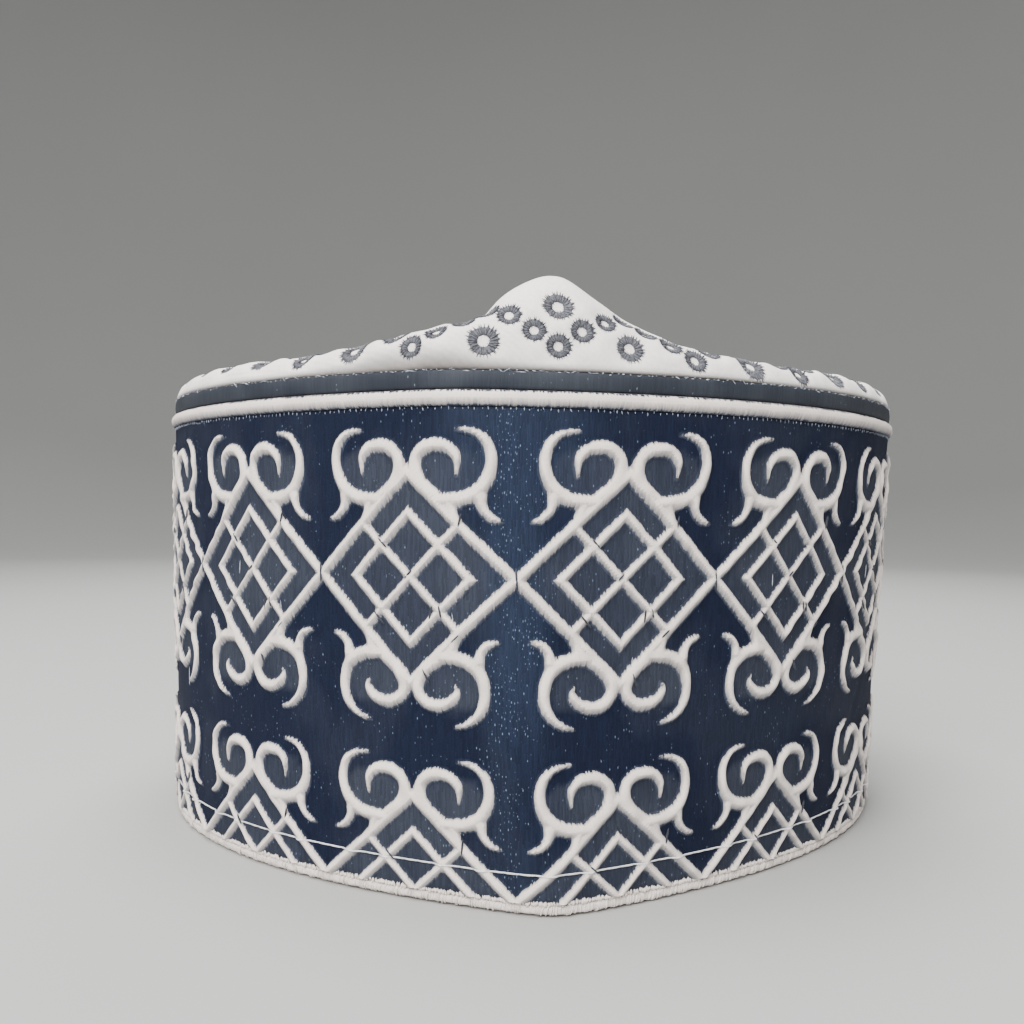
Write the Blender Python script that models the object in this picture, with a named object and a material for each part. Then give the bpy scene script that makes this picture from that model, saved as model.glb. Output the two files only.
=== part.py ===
"""An embroidered kufi: a stiff oval side band with a rolled hem, a welt, a stripe and a soft crown.

Metres, +Z up. The front of the hat faces -Y. The hat stands on its hem at z = 0,
and the middle of its box lies on the Z axis.
"""

import math

import bmesh
import bpy
from mathutils import Vector

# Driving sizes of the hat.
MEAN_RADIUS = 0.0924
SEAM_HEIGHT = 0.1006
FLARE = 0.0459
GAP = 0.0003

# Cloth thicknesses.
BAND_WALL = 0.0025
CROWN_WALL = 0.0016

# Trims: how high each is, and how far it stands out of the band's face.
HEM_HEIGHT = 0.0024
HEM_PROUD = 0.0005
HEM_ROUNDING = 0.0006
WELT_HEIGHT = 0.0031
WELT_PROUD = 0.0009
STRIPE_HEIGHT = 0.0032
STRIPE_PROUD = 0.0001
STRIP_SEAT = 0.0011

# The plan is a circle with a few waves, whose sizes are fractions of the mean radius.
# Columns: waves round the head, cosine at the hem, cosine at the seam, sine at the hem, sine at the
# seam.
PLAN_WAVES = (
    (2, 0.0081, 0.0160, -0.0418, -0.0115),
    (3, -0.0056, -0.0056, 0.0057, 0.0057),
    (4, 0.0084, 0.0084, 0.0000, 0.0000),
)

# Soft upright folds where the hat is folded flat for storage.
# Columns: angle at the hem, angle at the seam, size at the hem, size at the seam (fractions of the radius).
PLAN_FOLDS = (
    (0.028, -0.173, 0.133, 0.073),
    (math.pi, math.pi, 0.060, 0.035),
)
FOLD_WIDTH = 0.278
FOLD_ROUNDING = 0.045

# Shape of the crown above its seam.
SEAM_RISER = 0.0004
SHOULDER_RISE = 0.0043
SHOULDER_RUN_FRONT = 0.0010
SHOULDER_RUN_SIDE = 0.0020
DOME_RISE = 0.0015
DOME_RUN = 0.0462
PEAK_RISE = 0.0160
PEAK_RUN = 0.0047
PEAK_X = 0.0019
PEAK_ROUNDING = 0.0030
PEAK_REACH_LEFT = 0.0185
PEAK_REACH_RIGHT = 0.0143
PEAK_POWER = 1.22
PEAK_FULL_UNTIL = 0.045
PEAK_BACK_SHARE = 0.25

# How finely the faceted solids are cut.
SEGMENTS = 84
CROWN_STEPS = (0.0, 0.0008, 0.0018, 0.0033, 0.0055, 0.0085, 0.0125, 0.018, 0.026, 0.038, 0.053, 0.071)


def clear_scene():
    for obj in list(bpy.data.objects):
        bpy.data.objects.remove(obj, do_unlink=True)


def material(name, colour, roughness):
    made = bpy.data.materials.new(name)
    made.use_nodes = True
    shader = made.node_tree.nodes["Principled BSDF"]
    shader.inputs["Base Color"].default_value = (*colour, 1.0)
    shader.inputs["Roughness"].default_value = roughness
    shader.inputs["Metallic"].default_value = 0.0
    return made


def between(low, high, share):
    return low + (high - low) * share


def plan_radius(angle, height):
    """The band's outer radius at an angle from the front, towards +X, and at a height over the hem."""
    share = height / SEAM_HEIGHT
    size = 1.0
    for waves, cos_hem, cos_seam, sin_hem, sin_seam in PLAN_WAVES:
        size += between(cos_hem, cos_seam, share) * math.cos(waves * angle)
        size += between(sin_hem, sin_seam, share) * math.sin(waves * angle)
    for angle_hem, angle_seam, size_hem, size_seam in PLAN_FOLDS:
        away = angle - between(angle_hem, angle_seam, share)
        away = math.atan2(math.sin(away), math.cos(away))
        rounded = math.hypot(away, FOLD_ROUNDING) - FOLD_ROUNDING
        size += between(size_hem, size_seam, share) * math.exp(-rounded / FOLD_WIDTH)
    return MEAN_RADIUS * size * (1.0 + FLARE * (share - 0.5))


def plan_point(angle, height):
    radius = plan_radius(angle, height)
    return Vector((radius * math.sin(angle), -radius * math.cos(angle), height))


def band_point(angle, height, inset):
    """A point at this distance inside the band's outer face, measured square to it."""
    turn = 0.001
    along = plan_point(angle + turn, height) - plan_point(angle - turn, height)
    outwards = Vector((along.y, -along.x, 0.0)).normalized()
    return plan_point(angle, height) - inset * outwards


def angles():
    return [2.0 * math.pi * step / SEGMENTS for step in range(SEGMENTS)]


def add_object(name, bm, finish):
    mesh = bpy.data.meshes.new(name)
    bm.to_mesh(mesh)
    bm.free()
    mesh.shade_smooth()
    mesh.set_sharp_from_angle(angle=math.radians(40))
    mesh.materials.append(finish)
    obj = bpy.data.objects.new(name, mesh)
    bpy.context.scene.collection.objects.link(obj)
    return obj


def ring(name, section, finish):
    """Sweeps a closed section of (inset, height) corners round the head, up its outer face first."""
    bm = bmesh.new()
    columns = []
    for angle in angles():
        columns.append([bm.verts.new(band_point(angle, height, inset)) for inset, height in section])
    corners = len(section)
    for step in range(SEGMENTS):
        here = columns[step]
        there = columns[(step + 1) % SEGMENTS]
        for corner in range(corners):
            above = (corner + 1) % corners
            bm.faces.new((here[corner], there[corner], there[above], here[above]))
    return add_object(name, bm, finish)


def bulge(inset_foot, proud, low, high, steps):
    """Corners of a rounded outer face from low to high, standing proud of the band."""
    corners = []
    for step in range(steps + 1):
        turn = math.pi * step / steps
        lift = math.sin(turn) ** 0.7
        height = between(low, high, 0.5 - 0.5 * math.cos(turn))
        corners.append((between(inset_foot, -proud, lift), height))
    return corners


def make_hem_binding(finish):
    inner = BAND_WALL + HEM_PROUD
    shoulder = HEM_HEIGHT - HEM_ROUNDING
    section = [
        (HEM_ROUNDING - HEM_PROUD, 0.0),
        (-HEM_PROUD, HEM_ROUNDING),
        (-HEM_PROUD, shoulder),
        (HEM_ROUNDING - HEM_PROUD, HEM_HEIGHT),
        (inner - HEM_ROUNDING, HEM_HEIGHT),
        (inner, shoulder),
        (inner, HEM_ROUNDING),
        (inner - HEM_ROUNDING, 0.0),
    ]
    return ring("hem_binding", section, finish)


def make_side_band(finish):
    bottom = HEM_HEIGHT + GAP
    ledge = SEAM_HEIGHT - STRIPE_HEIGHT - WELT_HEIGHT - 2.0 * GAP
    levels = [between(bottom, ledge, share) for share in (0.0, 0.33, 0.67, 1.0)]
    outer = [(0.0, height) for height in levels]
    top = [(STRIP_SEAT, ledge), (STRIP_SEAT, SEAM_HEIGHT), (BAND_WALL, SEAM_HEIGHT)]
    inner = [(BAND_WALL, height) for height in reversed(levels)]
    return ring("side_band", outer + top + inner, finish)


def make_white_welt(finish):
    low = SEAM_HEIGHT - STRIPE_HEIGHT - GAP - WELT_HEIGHT
    high = low + WELT_HEIGHT
    back = STRIP_SEAT - GAP
    outer = bulge(0.0, WELT_PROUD, low, high, 5)
    return ring("white_welt", outer + [(back, high), (back, low)], finish)


def make_top_stripe(finish):
    low = SEAM_HEIGHT - STRIPE_HEIGHT
    back = STRIP_SEAT - GAP
    outer = [(0.0, low), (-STRIPE_PROUD, between(low, SEAM_HEIGHT, 0.3)), (0.0, SEAM_HEIGHT)]
    return ring("top_stripe", outer + [(back, SEAM_HEIGHT), (back, low)], finish)


def crown_rise(point, inwards, angle):
    """The crown's height over its seam, at a distance inwards from its edge."""
    front = 0.5 + 0.5 * math.cos(angle)
    run = between(SHOULDER_RUN_SIDE, SHOULDER_RUN_FRONT, front**4)
    shoulder = SHOULDER_RISE * (1.0 - math.exp(-inwards / run))
    dome = DOME_RISE * (1.0 - math.exp(-inwards / DOME_RUN))
    aside = point.x - PEAK_X
    reach = PEAK_REACH_RIGHT if aside > 0.0 else PEAK_REACH_LEFT
    rounded = math.hypot(aside, PEAK_ROUNDING) - PEAK_ROUNDING
    across = math.exp(-((rounded / reach) ** PEAK_POWER))
    behind = max(0.0, point.y + PEAK_FULL_UNTIL) / (MEAN_RADIUS + PEAK_FULL_UNTIL)
    along = between(1.0, PEAK_BACK_SHARE, 0.5 - 0.5 * math.cos(math.pi * min(1.0, behind)))
    edge = 1.0 - math.exp(-inwards / PEAK_RUN)
    return shoulder + dome + PEAK_RISE * across * along * edge


def make_crown(finish):
    """Rings of cloth from the seam to the middle, given their thickness inwards."""
    bm = bmesh.new()
    foot = SEAM_HEIGHT + GAP
    edges = [band_point(angle, SEAM_HEIGHT, GAP) for angle in angles()]
    rows = [[bm.verts.new((edge.x, edge.y, foot)) for edge in edges]]
    for inwards in CROWN_STEPS:
        row = []
        for angle, edge in zip(angles(), edges):
            share = 1.0 - inwards / math.hypot(edge.x, edge.y)
            point = Vector((edge.x * share, edge.y * share, 0.0))
            point.z = foot + SEAM_RISER + crown_rise(point, inwards, angle)
            row.append(bm.verts.new(point))
        rows.append(row)
    middle = Vector((0.0, 0.0, 0.0))
    middle.z = foot + SEAM_RISER + crown_rise(middle, MEAN_RADIUS, 0.0)
    centre = bm.verts.new(middle)
    for lower, upper in zip(rows, rows[1:]):
        for step in range(SEGMENTS):
            after = (step + 1) % SEGMENTS
            bm.faces.new((lower[step], lower[after], upper[after], upper[step]))
    for step in range(SEGMENTS):
        bm.faces.new((rows[-1][step], rows[-1][(step + 1) % SEGMENTS], centre))
    crown = add_object("crown", bm, finish)
    cloth = crown.modifiers.new("cloth thickness", "SOLIDIFY")
    cloth.thickness = CROWN_WALL
    cloth.offset = -1.0
    return crown


def centre_on_axis(pieces):
    """Moves the hat so that the middle of its box lies on the Z axis."""
    xs = [vert.co.x for piece in pieces for vert in piece.data.vertices]
    ys = [vert.co.y for piece in pieces for vert in piece.data.vertices]
    shift = Vector((-(min(xs) + max(xs)) / 2.0, -(min(ys) + max(ys)) / 2.0, 0.0))
    for piece in pieces:
        for vert in piece.data.vertices:
            vert.co += shift


def main():
    clear_scene()
    navy = material("navy embroidery", (0.035, 0.060, 0.130), 0.75)
    white = material("white thread", (0.78, 0.75, 0.75), 0.85)
    twill = material("white twill", (0.86, 0.83, 0.82), 0.90)
    pieces = [
        make_hem_binding(white),
        make_side_band(navy),
        make_white_welt(white),
        make_top_stripe(navy),
        make_crown(twill),
    ]
    centre_on_axis(pieces)


main()
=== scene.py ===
"""Cloth, embroidery and studio of an embroidered kufi, built round its fixed frame.

Metres, +Z up, the front of the hat facing -Y. The pattern is charted flat, in millimetres,
and is then wrapped round the band or laid on the crown.
"""

import math

import bmesh
import bpy
import numpy as np
from mathutils import Matrix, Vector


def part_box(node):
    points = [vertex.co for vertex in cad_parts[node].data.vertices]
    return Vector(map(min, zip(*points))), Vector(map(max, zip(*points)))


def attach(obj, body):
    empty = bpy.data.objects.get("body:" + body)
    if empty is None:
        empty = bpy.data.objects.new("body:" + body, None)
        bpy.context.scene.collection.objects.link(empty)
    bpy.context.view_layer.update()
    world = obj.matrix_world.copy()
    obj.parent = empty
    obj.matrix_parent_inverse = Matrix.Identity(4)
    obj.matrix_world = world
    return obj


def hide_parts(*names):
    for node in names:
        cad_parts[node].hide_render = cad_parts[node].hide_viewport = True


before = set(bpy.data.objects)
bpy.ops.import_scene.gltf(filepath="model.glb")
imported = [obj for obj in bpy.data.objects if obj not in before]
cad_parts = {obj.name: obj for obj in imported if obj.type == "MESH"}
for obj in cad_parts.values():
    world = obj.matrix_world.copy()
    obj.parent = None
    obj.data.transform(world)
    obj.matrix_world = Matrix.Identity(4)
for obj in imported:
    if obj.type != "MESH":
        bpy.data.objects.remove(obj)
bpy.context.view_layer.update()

bl_info = {
    "name": "Embroidered Kufi",
    "version": (1, 0, 0),
    "blender": (4, 5, 0),
    "location": "View3D > Sidebar > Kufi",
    "description": "Builds the cloth and embroidery of a kufi, and the studio it stands in",
    "category": "Add Mesh",
}

MM = 0.001

# Sizes of the band's plan, the same as in the solids.
MEAN_RADIUS = 0.0924
SEAM_HEIGHT = 0.1006
FLARE = 0.0459
BAND_WALL = 0.0025
STRIP_SEAT = 0.0011
GAP = 0.0003
CROWN_WALL = 0.0016
AXIS_X = 0.000563
AXIS_Y = 0.001053

# The plan is a circle with a few waves, whose sizes are fractions of the mean radius.
# Columns: waves round the head, cosine at the hem, cosine at the seam, sine at the hem,
# sine at the seam.
PLAN_WAVES = (
    (2, 0.0081, 0.0160, -0.0418, -0.0115),
    (3, -0.0056, -0.0056, 0.0057, 0.0057),
    (4, 0.0084, 0.0084, 0.0000, 0.0000),
)

# Soft upright folds. Columns: angle at the hem, angle at the seam, size at the hem, size at the seam.
PLAN_FOLDS = (
    (0.028, -0.173, 0.133, 0.073),
    (math.pi, math.pi, 0.060, 0.035),
)
FOLD_WIDTH = 0.278
FOLD_ROUNDING = 0.045

# Shape of the crown above its seam, the same as in the solids.
SEAM_RISER = 0.0004
SHOULDER_RISE = 0.0043
SHOULDER_RUN_FRONT = 0.0010
SHOULDER_RUN_SIDE = 0.0020
DOME_RISE = 0.0015
DOME_RUN = 0.0462
PEAK_RISE = 0.0160
PEAK_RUN = 0.0047
PEAK_X = 0.0019
PEAK_ROUNDING = 0.0030
PEAK_REACH_LEFT = 0.0185
PEAK_REACH_RIGHT = 0.0143
PEAK_POWER = 1.22
PEAK_FULL_UNTIL = 0.045
PEAK_BACK_SHARE = 0.25

# Heights read from the frame.
HEM_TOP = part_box("hem_binding")[1].z
BAND_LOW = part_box("side_band")[0].z
WELT_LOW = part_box("white_welt")[0].z
WELT_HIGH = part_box("white_welt")[1].z
STRIPE_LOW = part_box("top_stripe")[0].z
BAND_LEDGE = WELT_LOW - GAP
CROWN_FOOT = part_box("crown")[0].z

# Layout of the embroidery: fourteen repeats round the band in two tiers.
REPEATS = 14
PITCH = 0.042
GIRTH = REPEATS * PITCH
FRONT_SHARE = 0.5 - 0.0072
FRONT_CROWDING = 0.0018
MOTIF_HALF_WIDTH = 21.0
MOTIF_HALF_HEIGHT = 29.5

# Columns: height of the tier's middle, upright stretch, shift along the band, slant, fanning of its top.
UPPER_TIER = (0.0619, 1.0, -0.0001, 0.020, 0.079)
LOWER_TIER = (0.0022, 0.917, -0.0008, 0.0, 0.0)
TIERS = (UPPER_TIER, LOWER_TIER)

# Diamonds of the lattice: half width, half height and half the breadth of their line, in millimetres.
OUTER_DIAMOND = (20.9, 19.85, 1.10)
INNER_DIAMOND = (12.5, 12.3, 0.95)

# Centre lines of one quarter of the motif, in millimetres from its middle.
# Each row is (across, up, half width).
CROSS_ARM = ((0.0, 0.0, 0.88), (10.2, 10.0, 0.88))
SCROLL_TOP = (
    (5.6, 15.6, 1.20),
    (3.3, 17.4, 1.30),
    (2.0, 19.3, 1.35),
    (1.65, 21.3, 1.30),
    (2.2, 23.1, 1.25),
    (3.9, 24.6, 1.35),
    (6.2, 25.0, 1.30),
    (8.4, 24.4, 1.15),
    (9.7, 23.0, 0.95),
    (10.05, 21.4, 0.60),
    (9.9, 19.4, 0.28),
)
SCROLL_BOTTOM = (
    (5.6, 15.4, 1.20),
    (3.2, 17.2, 1.30),
    (1.85, 19.0, 1.35),
    (1.5, 20.8, 1.25),
    (2.2, 22.4, 1.20),
    (3.8, 23.5, 1.25),
    (5.9, 23.8, 1.20),
    (8.0, 23.2, 1.10),
    (9.4, 22.0, 0.95),
    (9.9, 20.9, 0.60),
    (9.5, 19.9, 0.28),
)
HOOK_TOP = (
    (6.4, 14.6, 1.35),
    (9.0, 14.7, 1.40),
    (11.6, 15.2, 1.40),
    (13.8, 16.4, 1.40),
    (15.3, 18.4, 1.25),
    (16.1, 20.8, 1.10),
    (16.1, 23.2, 1.05),
    (15.4, 25.3, 0.95),
    (14.0, 26.9, 0.75),
    (12.0, 27.7, 0.58),
    (9.9, 27.9, 0.25),
)
HOOK_BOTTOM = (
    (6.4, 14.5, 1.30),
    (9.0, 14.6, 1.35),
    (11.4, 15.1, 1.35),
    (13.4, 16.2, 1.35),
    (14.8, 18.0, 1.25),
    (15.4, 20.4, 1.15),
    (15.3, 22.6, 1.10),
    (14.5, 24.6, 1.00),
    (13.1, 26.1, 0.80),
    (11.3, 27.1, 0.58),
    (9.4, 27.6, 0.25),
)
TAIL_TOP = (
    (14.3, 15.3, 1.20),
    (14.6, 13.7, 0.95),
    (15.3, 12.4, 0.85),
    (16.6, 11.3, 0.70),
    (18.2, 10.8, 0.28),
)
TAIL_BOTTOM = (
    (14.2, 15.2, 1.20),
    (14.6, 13.5, 0.95),
    (15.6, 12.2, 0.85),
    (17.0, 11.5, 0.60),
    (18.0, 11.3, 0.28),
)
WEB = ((8.6, 13.6, 1.10), (9.2, 12.2, 0.95), (9.6, 10.8, 0.85))

# How softly strokes of the motif run into each other, in millimetres.
TAIL_FILLET = 0.7
WEB_FILLET = 0.8
SCROLL_FILLET = 0.6
LATTICE_FILLET = 0.3

# Depths inside the white's drawn border, in millimetres: its rounding ends at the first, its foot lies
# at the second, and from there a skirt sinks into the ground until the third.
PUFF_ROUNDING = 1.2
PUFF_FOOT = -0.45
PUFF_SKIRT = -0.75

# How far the skirt sinks, in metres.
SKIRT_SINK = -0.00022

# The round hollow inside the horns of a motif: across, up, half width and half height in millimetres.
HORN_HOLLOW = (9.0, 20.0, 6.6, 4.6)

# How sharply the navy turns grey at the border of a hollow.
GREY_SHARPNESS = 5.0

# Thin navy travel threads that cross the white, in millimetres from the motif's middle.
# Columns: across, up, direction in degrees, length.
NAVY_CUTS = (
    (-21.0, 0.0, 90.0, 4.4),
    (-5.4, 6.7, -45.0, 2.6),
    (0.0, 0.5, 44.0, 2.0),
    (-6.8, -7.7, -48.0, 3.6),
    (4.9, -6.8, 78.0, 2.8),
    (6.4, -6.4, -80.0, 2.4),
    (9.9, -10.8, 40.0, 2.6),
    (10.7, 10.9, 78.0, 3.2),
    (3.4, -18.4, -66.0, 3.0),
)

# Loose white threads left standing on the navy. Columns: across, up, direction in degrees, length.
WHITE_JUMPS = (
    (-4.7, -0.4, 91.0, 3.0),
    (9.4, -26.3, 88.0, 4.2),
    (9.0, -8.0, 94.0, 3.4),
    (2.2, -16.2, 86.0, 2.6),
)

# Eyelets of one repeat of the crown's edge: distance along it as a share of the repeat,
# distance up the cloth in millimetres, outer radius and hole radius.
CROWN_REPEATS = 21
CROWN_PHASE = 0.50583
EYELETS = (
    (0.000, 4.8, 2.35, 0.90),
    (0.500, 5.6, 2.95, 1.15),
    (0.165, 8.1, 2.35, 0.90),
    (-0.165, 8.1, 2.35, 0.90),
    (0.340, 11.2, 2.30, 0.90),
    (-0.340, 11.2, 2.30, 0.90),
    (0.500, 13.9, 2.35, 0.90),
    (0.000, 13.0, 2.90, 1.15),
)

# Eyelets are worked flat in a row, this far from each other in metres, and are then sewn on.
EYELET_SPACING = 0.02

# The eyelets come closer to the seam away from the front. Rows: repeats from the front, millimetres.
EYELET_DROP = (
    (-10.5, 2.0),
    (-6.5, 1.0),
    (-4.6, -1.2),
    (-3.4, -1.9),
    (-2.4, -0.5),
    (-1.1, 0.4),
    (0.0, 0.0),
    (1.7, 1.4),
    (3.0, 0.6),
    (3.5, -0.3),
    (4.6, -0.8),
    (6.5, 1.0),
    (10.5, 2.0),
)

# The crown sinks a little to the left of its peak.
HOLLOW_PLACE = -0.0115
HOLLOW_REACH = 0.0058

# It bulges over its seam to the left of the front.
BULGE_PLACE = -0.020
BULGE_REACH = 0.016

# Where the crown's relief starts, is full and fades out, in millimetres up the cloth.
QUILT_FULL = 3.0
QUILT_END = 17.0
QUILT_FADE = 6.0
CREASE_FULL = 12.0
CREASE_END = 40.0
CREASE_FADE = 15.0
HOLLOW_START = 7.0
HOLLOW_FADE = 9.0
BULGE_FULL = 2.0
BULGE_HEIGHT = 5.5
BULGE_SPREAD = 3.0

# An eyelet draws in the cloth to about this many times its radius.
PINCH_REACH = 1.25

# How finely a meridian of the crown is measured.
MERIDIAN_STEPS = 420

# Points closer than this are joined where repeats meet and where the band closes.
REPEAT_MERGE = 0.00001
SEAM_MERGE = 0.000002

# Colours that no setting holds.
PALE_NAVY = (0.019, 0.028, 0.055)
NAVY_FLECK = (0.20, 0.27, 0.38)
# Frayed navy under the raised white, made paler as painted light against the shadow there.
FRAYED_AND_LIT_NAVY = (0.095, 0.110, 0.148)
# Painted shade at the border of the raised white.
WHITE_EDGE_SHADE = (0.10, 0.112, 0.14)
STRIPE_DARK = (0.024, 0.028, 0.038)
STRIPE_LIGHT = (0.035, 0.040, 0.051)
STRIPE_FLECK = (0.24, 0.28, 0.34)
EYELET_STREAK = (0.04, 0.044, 0.058)
EYELET_SPIKE = (0.026, 0.030, 0.044)
EYELET_RIM = (0.030, 0.034, 0.048)
# Painted shade of the crown's twill just above its seam.
SEAM_SHADE = (0.095, 0.080, 0.076)

# Where the navy turns paler, in metres from the front and up the band: it is worn along the front fold, and
# paler near the top of the front.
# Each row is (from, to, value at from, value at to).
FOLD_BREADTH = (0.002, 0.009, 1.0, 0.0)
FOLD_WEAR = (0.026, 0.044, 0.20, 0.75)
TOP_BREADTH = (0.004, 0.021, 1.0, 0.0)
TOP_PALING = (0.064, 0.088, 0.0, 0.60)

# The upright stitches: how far their columns sway and how often their ends change, in metres.
ROW_SWAY = 0.0006
BITE_STEP = 0.0035

# How broad a fleck between the stitches is for its height.
FLECK_SHAPE = 0.42

# The camera stands where the photograph was taken.
CAMERA_PLACE = (-0.00534, -0.30335, 0.0755)
CAMERA_PITCH = -0.0047
CAMERA_ROLL = 0.0134
CAMERA_LENS = 38.6


def length_setting(name, description, default):
    return bpy.props.FloatProperty(name=name, description=description, default=default, subtype="DISTANCE")


def number_setting(name, description, default, subtype="NONE"):
    return bpy.props.FloatProperty(name=name, description=description, default=default, subtype=subtype)


def count_setting(name, description, default):
    return bpy.props.IntProperty(name=name, description=description, default=default)


def colour_setting(name, description, default):
    return bpy.props.FloatVectorProperty(
        name=name, description=description, default=default, subtype="COLOR", size=3
    )


class KufiBandSettings(bpy.types.PropertyGroup):
    """Sizes and colours of the embroidered band."""

    puff: length_setting("Puff", "Height of the raised white cloth", 0.00095)
    chart_grid: length_setting("Chart grid", "Size of one cell of the raised cloth", 0.0005)
    stitch_pitch: length_setting("Stitch pitch", "Distance between upright stitches", 0.00029)
    stitch_length: length_setting("Stitch length", "Length of one upright stitch", 0.0032)
    teeth: number_setting("Teeth", "How far stitches bite into the white, in millimetres", 0.13)
    navy: colour_setting("Navy", "Open navy ground", (0.0062, 0.0100, 0.0268))
    slate: colour_setting("Slate", "Navy inside the motifs", (0.0350, 0.0410, 0.0590))
    white: colour_setting("White", "Raised white cloth", (0.85, 0.765, 0.705))
    jump_length: length_setting("Stitch line step", "Length of one running stitch", 0.0030)
    jump_height: length_setting("Stitch line height", "Height of the stitch line", 0.0079)
    jump_thread: length_setting("Stitch line thread", "Radius of the stitch line", 0.00018)


class KufiCrownSettings(bpy.types.PropertyGroup):
    """Sizes and colours of the crown."""

    columns: count_setting("Columns", "Columns of cloth round the crown", 672)
    swell: length_setting("Swell", "How far the cloth swells between eyelets", 0.0005)
    pinch: length_setting("Pinch", "How far an eyelet draws the cloth in", 0.0007)
    crease: length_setting("Crease", "Height of the crown's soft creases", 0.0004)
    hollow: length_setting("Hollow", "Depth of the hollow left of the peak", 0.0034)
    bulge: length_setting("Bulge", "How far the cloth swells over its seam", 0.0009)
    eyelet_stitches: count_setting("Eyelet stitches", "Radial stitches round one eyelet", 20)
    eyelet_spikes: count_setting("Eyelet spikes", "Longer dark stitches round one eyelet", 32)
    twill: colour_setting("Twill", "White twill", (0.93, 0.885, 0.84))
    eyelet_thread: colour_setting("Eyelet thread", "Blue-grey thread", (0.125, 0.127, 0.145))


class KufiHemSettings(bpy.types.PropertyGroup):
    """Sizes of the overlocked hem."""

    overlock_step: length_setting("Overlock step", "Distance between overlock stitches", 0.00060)
    overlock_thread: length_setting("Overlock thread", "Radius of the overlock thread", 0.00019)


class KufiStudioSettings(bpy.types.PropertyGroup):
    """Light and floor of the studio."""

    key_power: number_setting("Key light", "Power of the key light", 30.0, "POWER")
    fill_power: number_setting("Fill light", "Power of the fill light", 0.1, "POWER")
    world: number_setting("World", "Strength of the room light", 0.18)
    floor: colour_setting("Floor", "Pale floor", (0.42, 0.42, 0.41))


def between(low, high, share):
    return low + (high - low) * share


def plan_radius(angle, height):
    """The band's outer radius at angles from the front, towards +X, and at heights over the hem."""
    share = height / SEAM_HEIGHT
    size = 1.0
    for waves, cos_hem, cos_seam, sin_hem, sin_seam in PLAN_WAVES:
        size = size + between(cos_hem, cos_seam, share) * np.cos(waves * angle)
        size = size + between(sin_hem, sin_seam, share) * np.sin(waves * angle)
    for angle_hem, angle_seam, size_hem, size_seam in PLAN_FOLDS:
        away = angle - between(angle_hem, angle_seam, share)
        away = np.arctan2(np.sin(away), np.cos(away))
        rounded = np.hypot(away, FOLD_ROUNDING) - FOLD_ROUNDING
        size = size + between(size_hem, size_seam, share) * np.exp(-rounded / FOLD_WIDTH)
    return MEAN_RADIUS * size * (1.0 + FLARE * (share - 0.5))


def plan_place(angle, height):
    radius = plan_radius(angle, height)
    return radius * np.sin(angle), -radius * np.cos(angle)


def angle_table(columns, rows):
    """Angles at equal steps along the band's girth, one row for each of a few heights."""
    angles = np.linspace(-np.pi, np.pi, columns)
    shares = np.linspace(0.0, 1.0, columns)
    table = []
    for height in np.linspace(0.0, SEAM_HEIGHT, rows):
        x, y = plan_place(angles, height)
        run = np.concatenate([[0.0], np.cumsum(np.hypot(np.diff(x), np.diff(y)))])
        table.append(np.interp(shares, run / run[-1], angles))
    return np.array(table)


ANGLES = angle_table(columns=2881, rows=25)


def angle_at(share, height):
    """The angle at a share of the girth, counted from the middle of the back."""
    rows, columns = ANGLES.shape
    column = (share % 1.0) * (columns - 1)
    row = np.clip(height / SEAM_HEIGHT, 0.0, 1.0) * (rows - 1)
    left = np.minimum(column.astype(int), columns - 2)
    low = np.minimum(row.astype(int), rows - 2)
    lower = between(ANGLES[low, left], ANGLES[low, left + 1], column - left)
    upper = between(ANGLES[low + 1, left], ANGLES[low + 1, left + 1], column - left)
    return between(lower, upper, row - low)


def wrap_band(along, height, lift):
    """Places flat cloth on the band: along is measured from the front, lift is out of the band's face."""
    along, height, lift = np.broadcast_arrays(along, height, lift)
    crowding = FRONT_CROWDING * np.sin(2.0 * np.pi * along / GIRTH)
    return band_place(angle_at(FRONT_SHARE + (along - crowding) / GIRTH, height), height, lift)


def band_place(angle, height, lift):
    """A place at an angle and a height, this far out of the band's face."""
    turn = 0.001
    x, y = plan_place(angle, height)
    after_x, after_y = plan_place(angle + turn, height)
    before_x, before_y = plan_place(angle - turn, height)
    out_x = after_y - before_y
    out_y = before_x - after_x
    out = lift / np.hypot(out_x, out_y)
    return np.stack(np.broadcast_arrays(x + out * out_x + AXIS_X, y + out * out_y + AXIS_Y, height), -1)


def ripple(along, height, seed, length, count=14):
    """Soft unevenness between -1 and 1 that closes round the girth."""
    draw = np.random.default_rng(seed)
    turns = GIRTH / length
    total = np.zeros(np.broadcast(along, height).shape)
    for _ in range(count):
        waves = round(draw.uniform(0.4, 1.0) * turns)
        slope = draw.uniform(-1.0, 1.0) * 2.0 * np.pi / length
        total += np.cos(2.0 * np.pi * waves * along / GIRTH + slope * height + draw.uniform(0.0, 2.0 * np.pi))
    return total / math.sqrt(count)


def crown_rise(x, y, inwards, angle):
    """The crown's height over its seam, at a distance inwards from its edge."""
    front = 0.5 + 0.5 * np.cos(angle)
    run = between(SHOULDER_RUN_SIDE, SHOULDER_RUN_FRONT, front**4)
    shoulder = SHOULDER_RISE * (1.0 - np.exp(-inwards / run))
    dome = DOME_RISE * (1.0 - np.exp(-inwards / DOME_RUN))
    aside = x - PEAK_X
    reach = np.where(aside > 0.0, PEAK_REACH_RIGHT, PEAK_REACH_LEFT)
    rounded = np.hypot(aside, PEAK_ROUNDING) - PEAK_ROUNDING
    across = np.exp(-((rounded / reach) ** PEAK_POWER))
    behind = np.maximum(0.0, y + PEAK_FULL_UNTIL) / (MEAN_RADIUS + PEAK_FULL_UNTIL)
    along = between(1.0, PEAK_BACK_SHARE, 0.5 - 0.5 * np.cos(np.pi * np.minimum(1.0, behind)))
    edge = 1.0 - np.exp(-inwards / PEAK_RUN)
    return shoulder + dome + PEAK_RISE * across * along * edge


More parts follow.
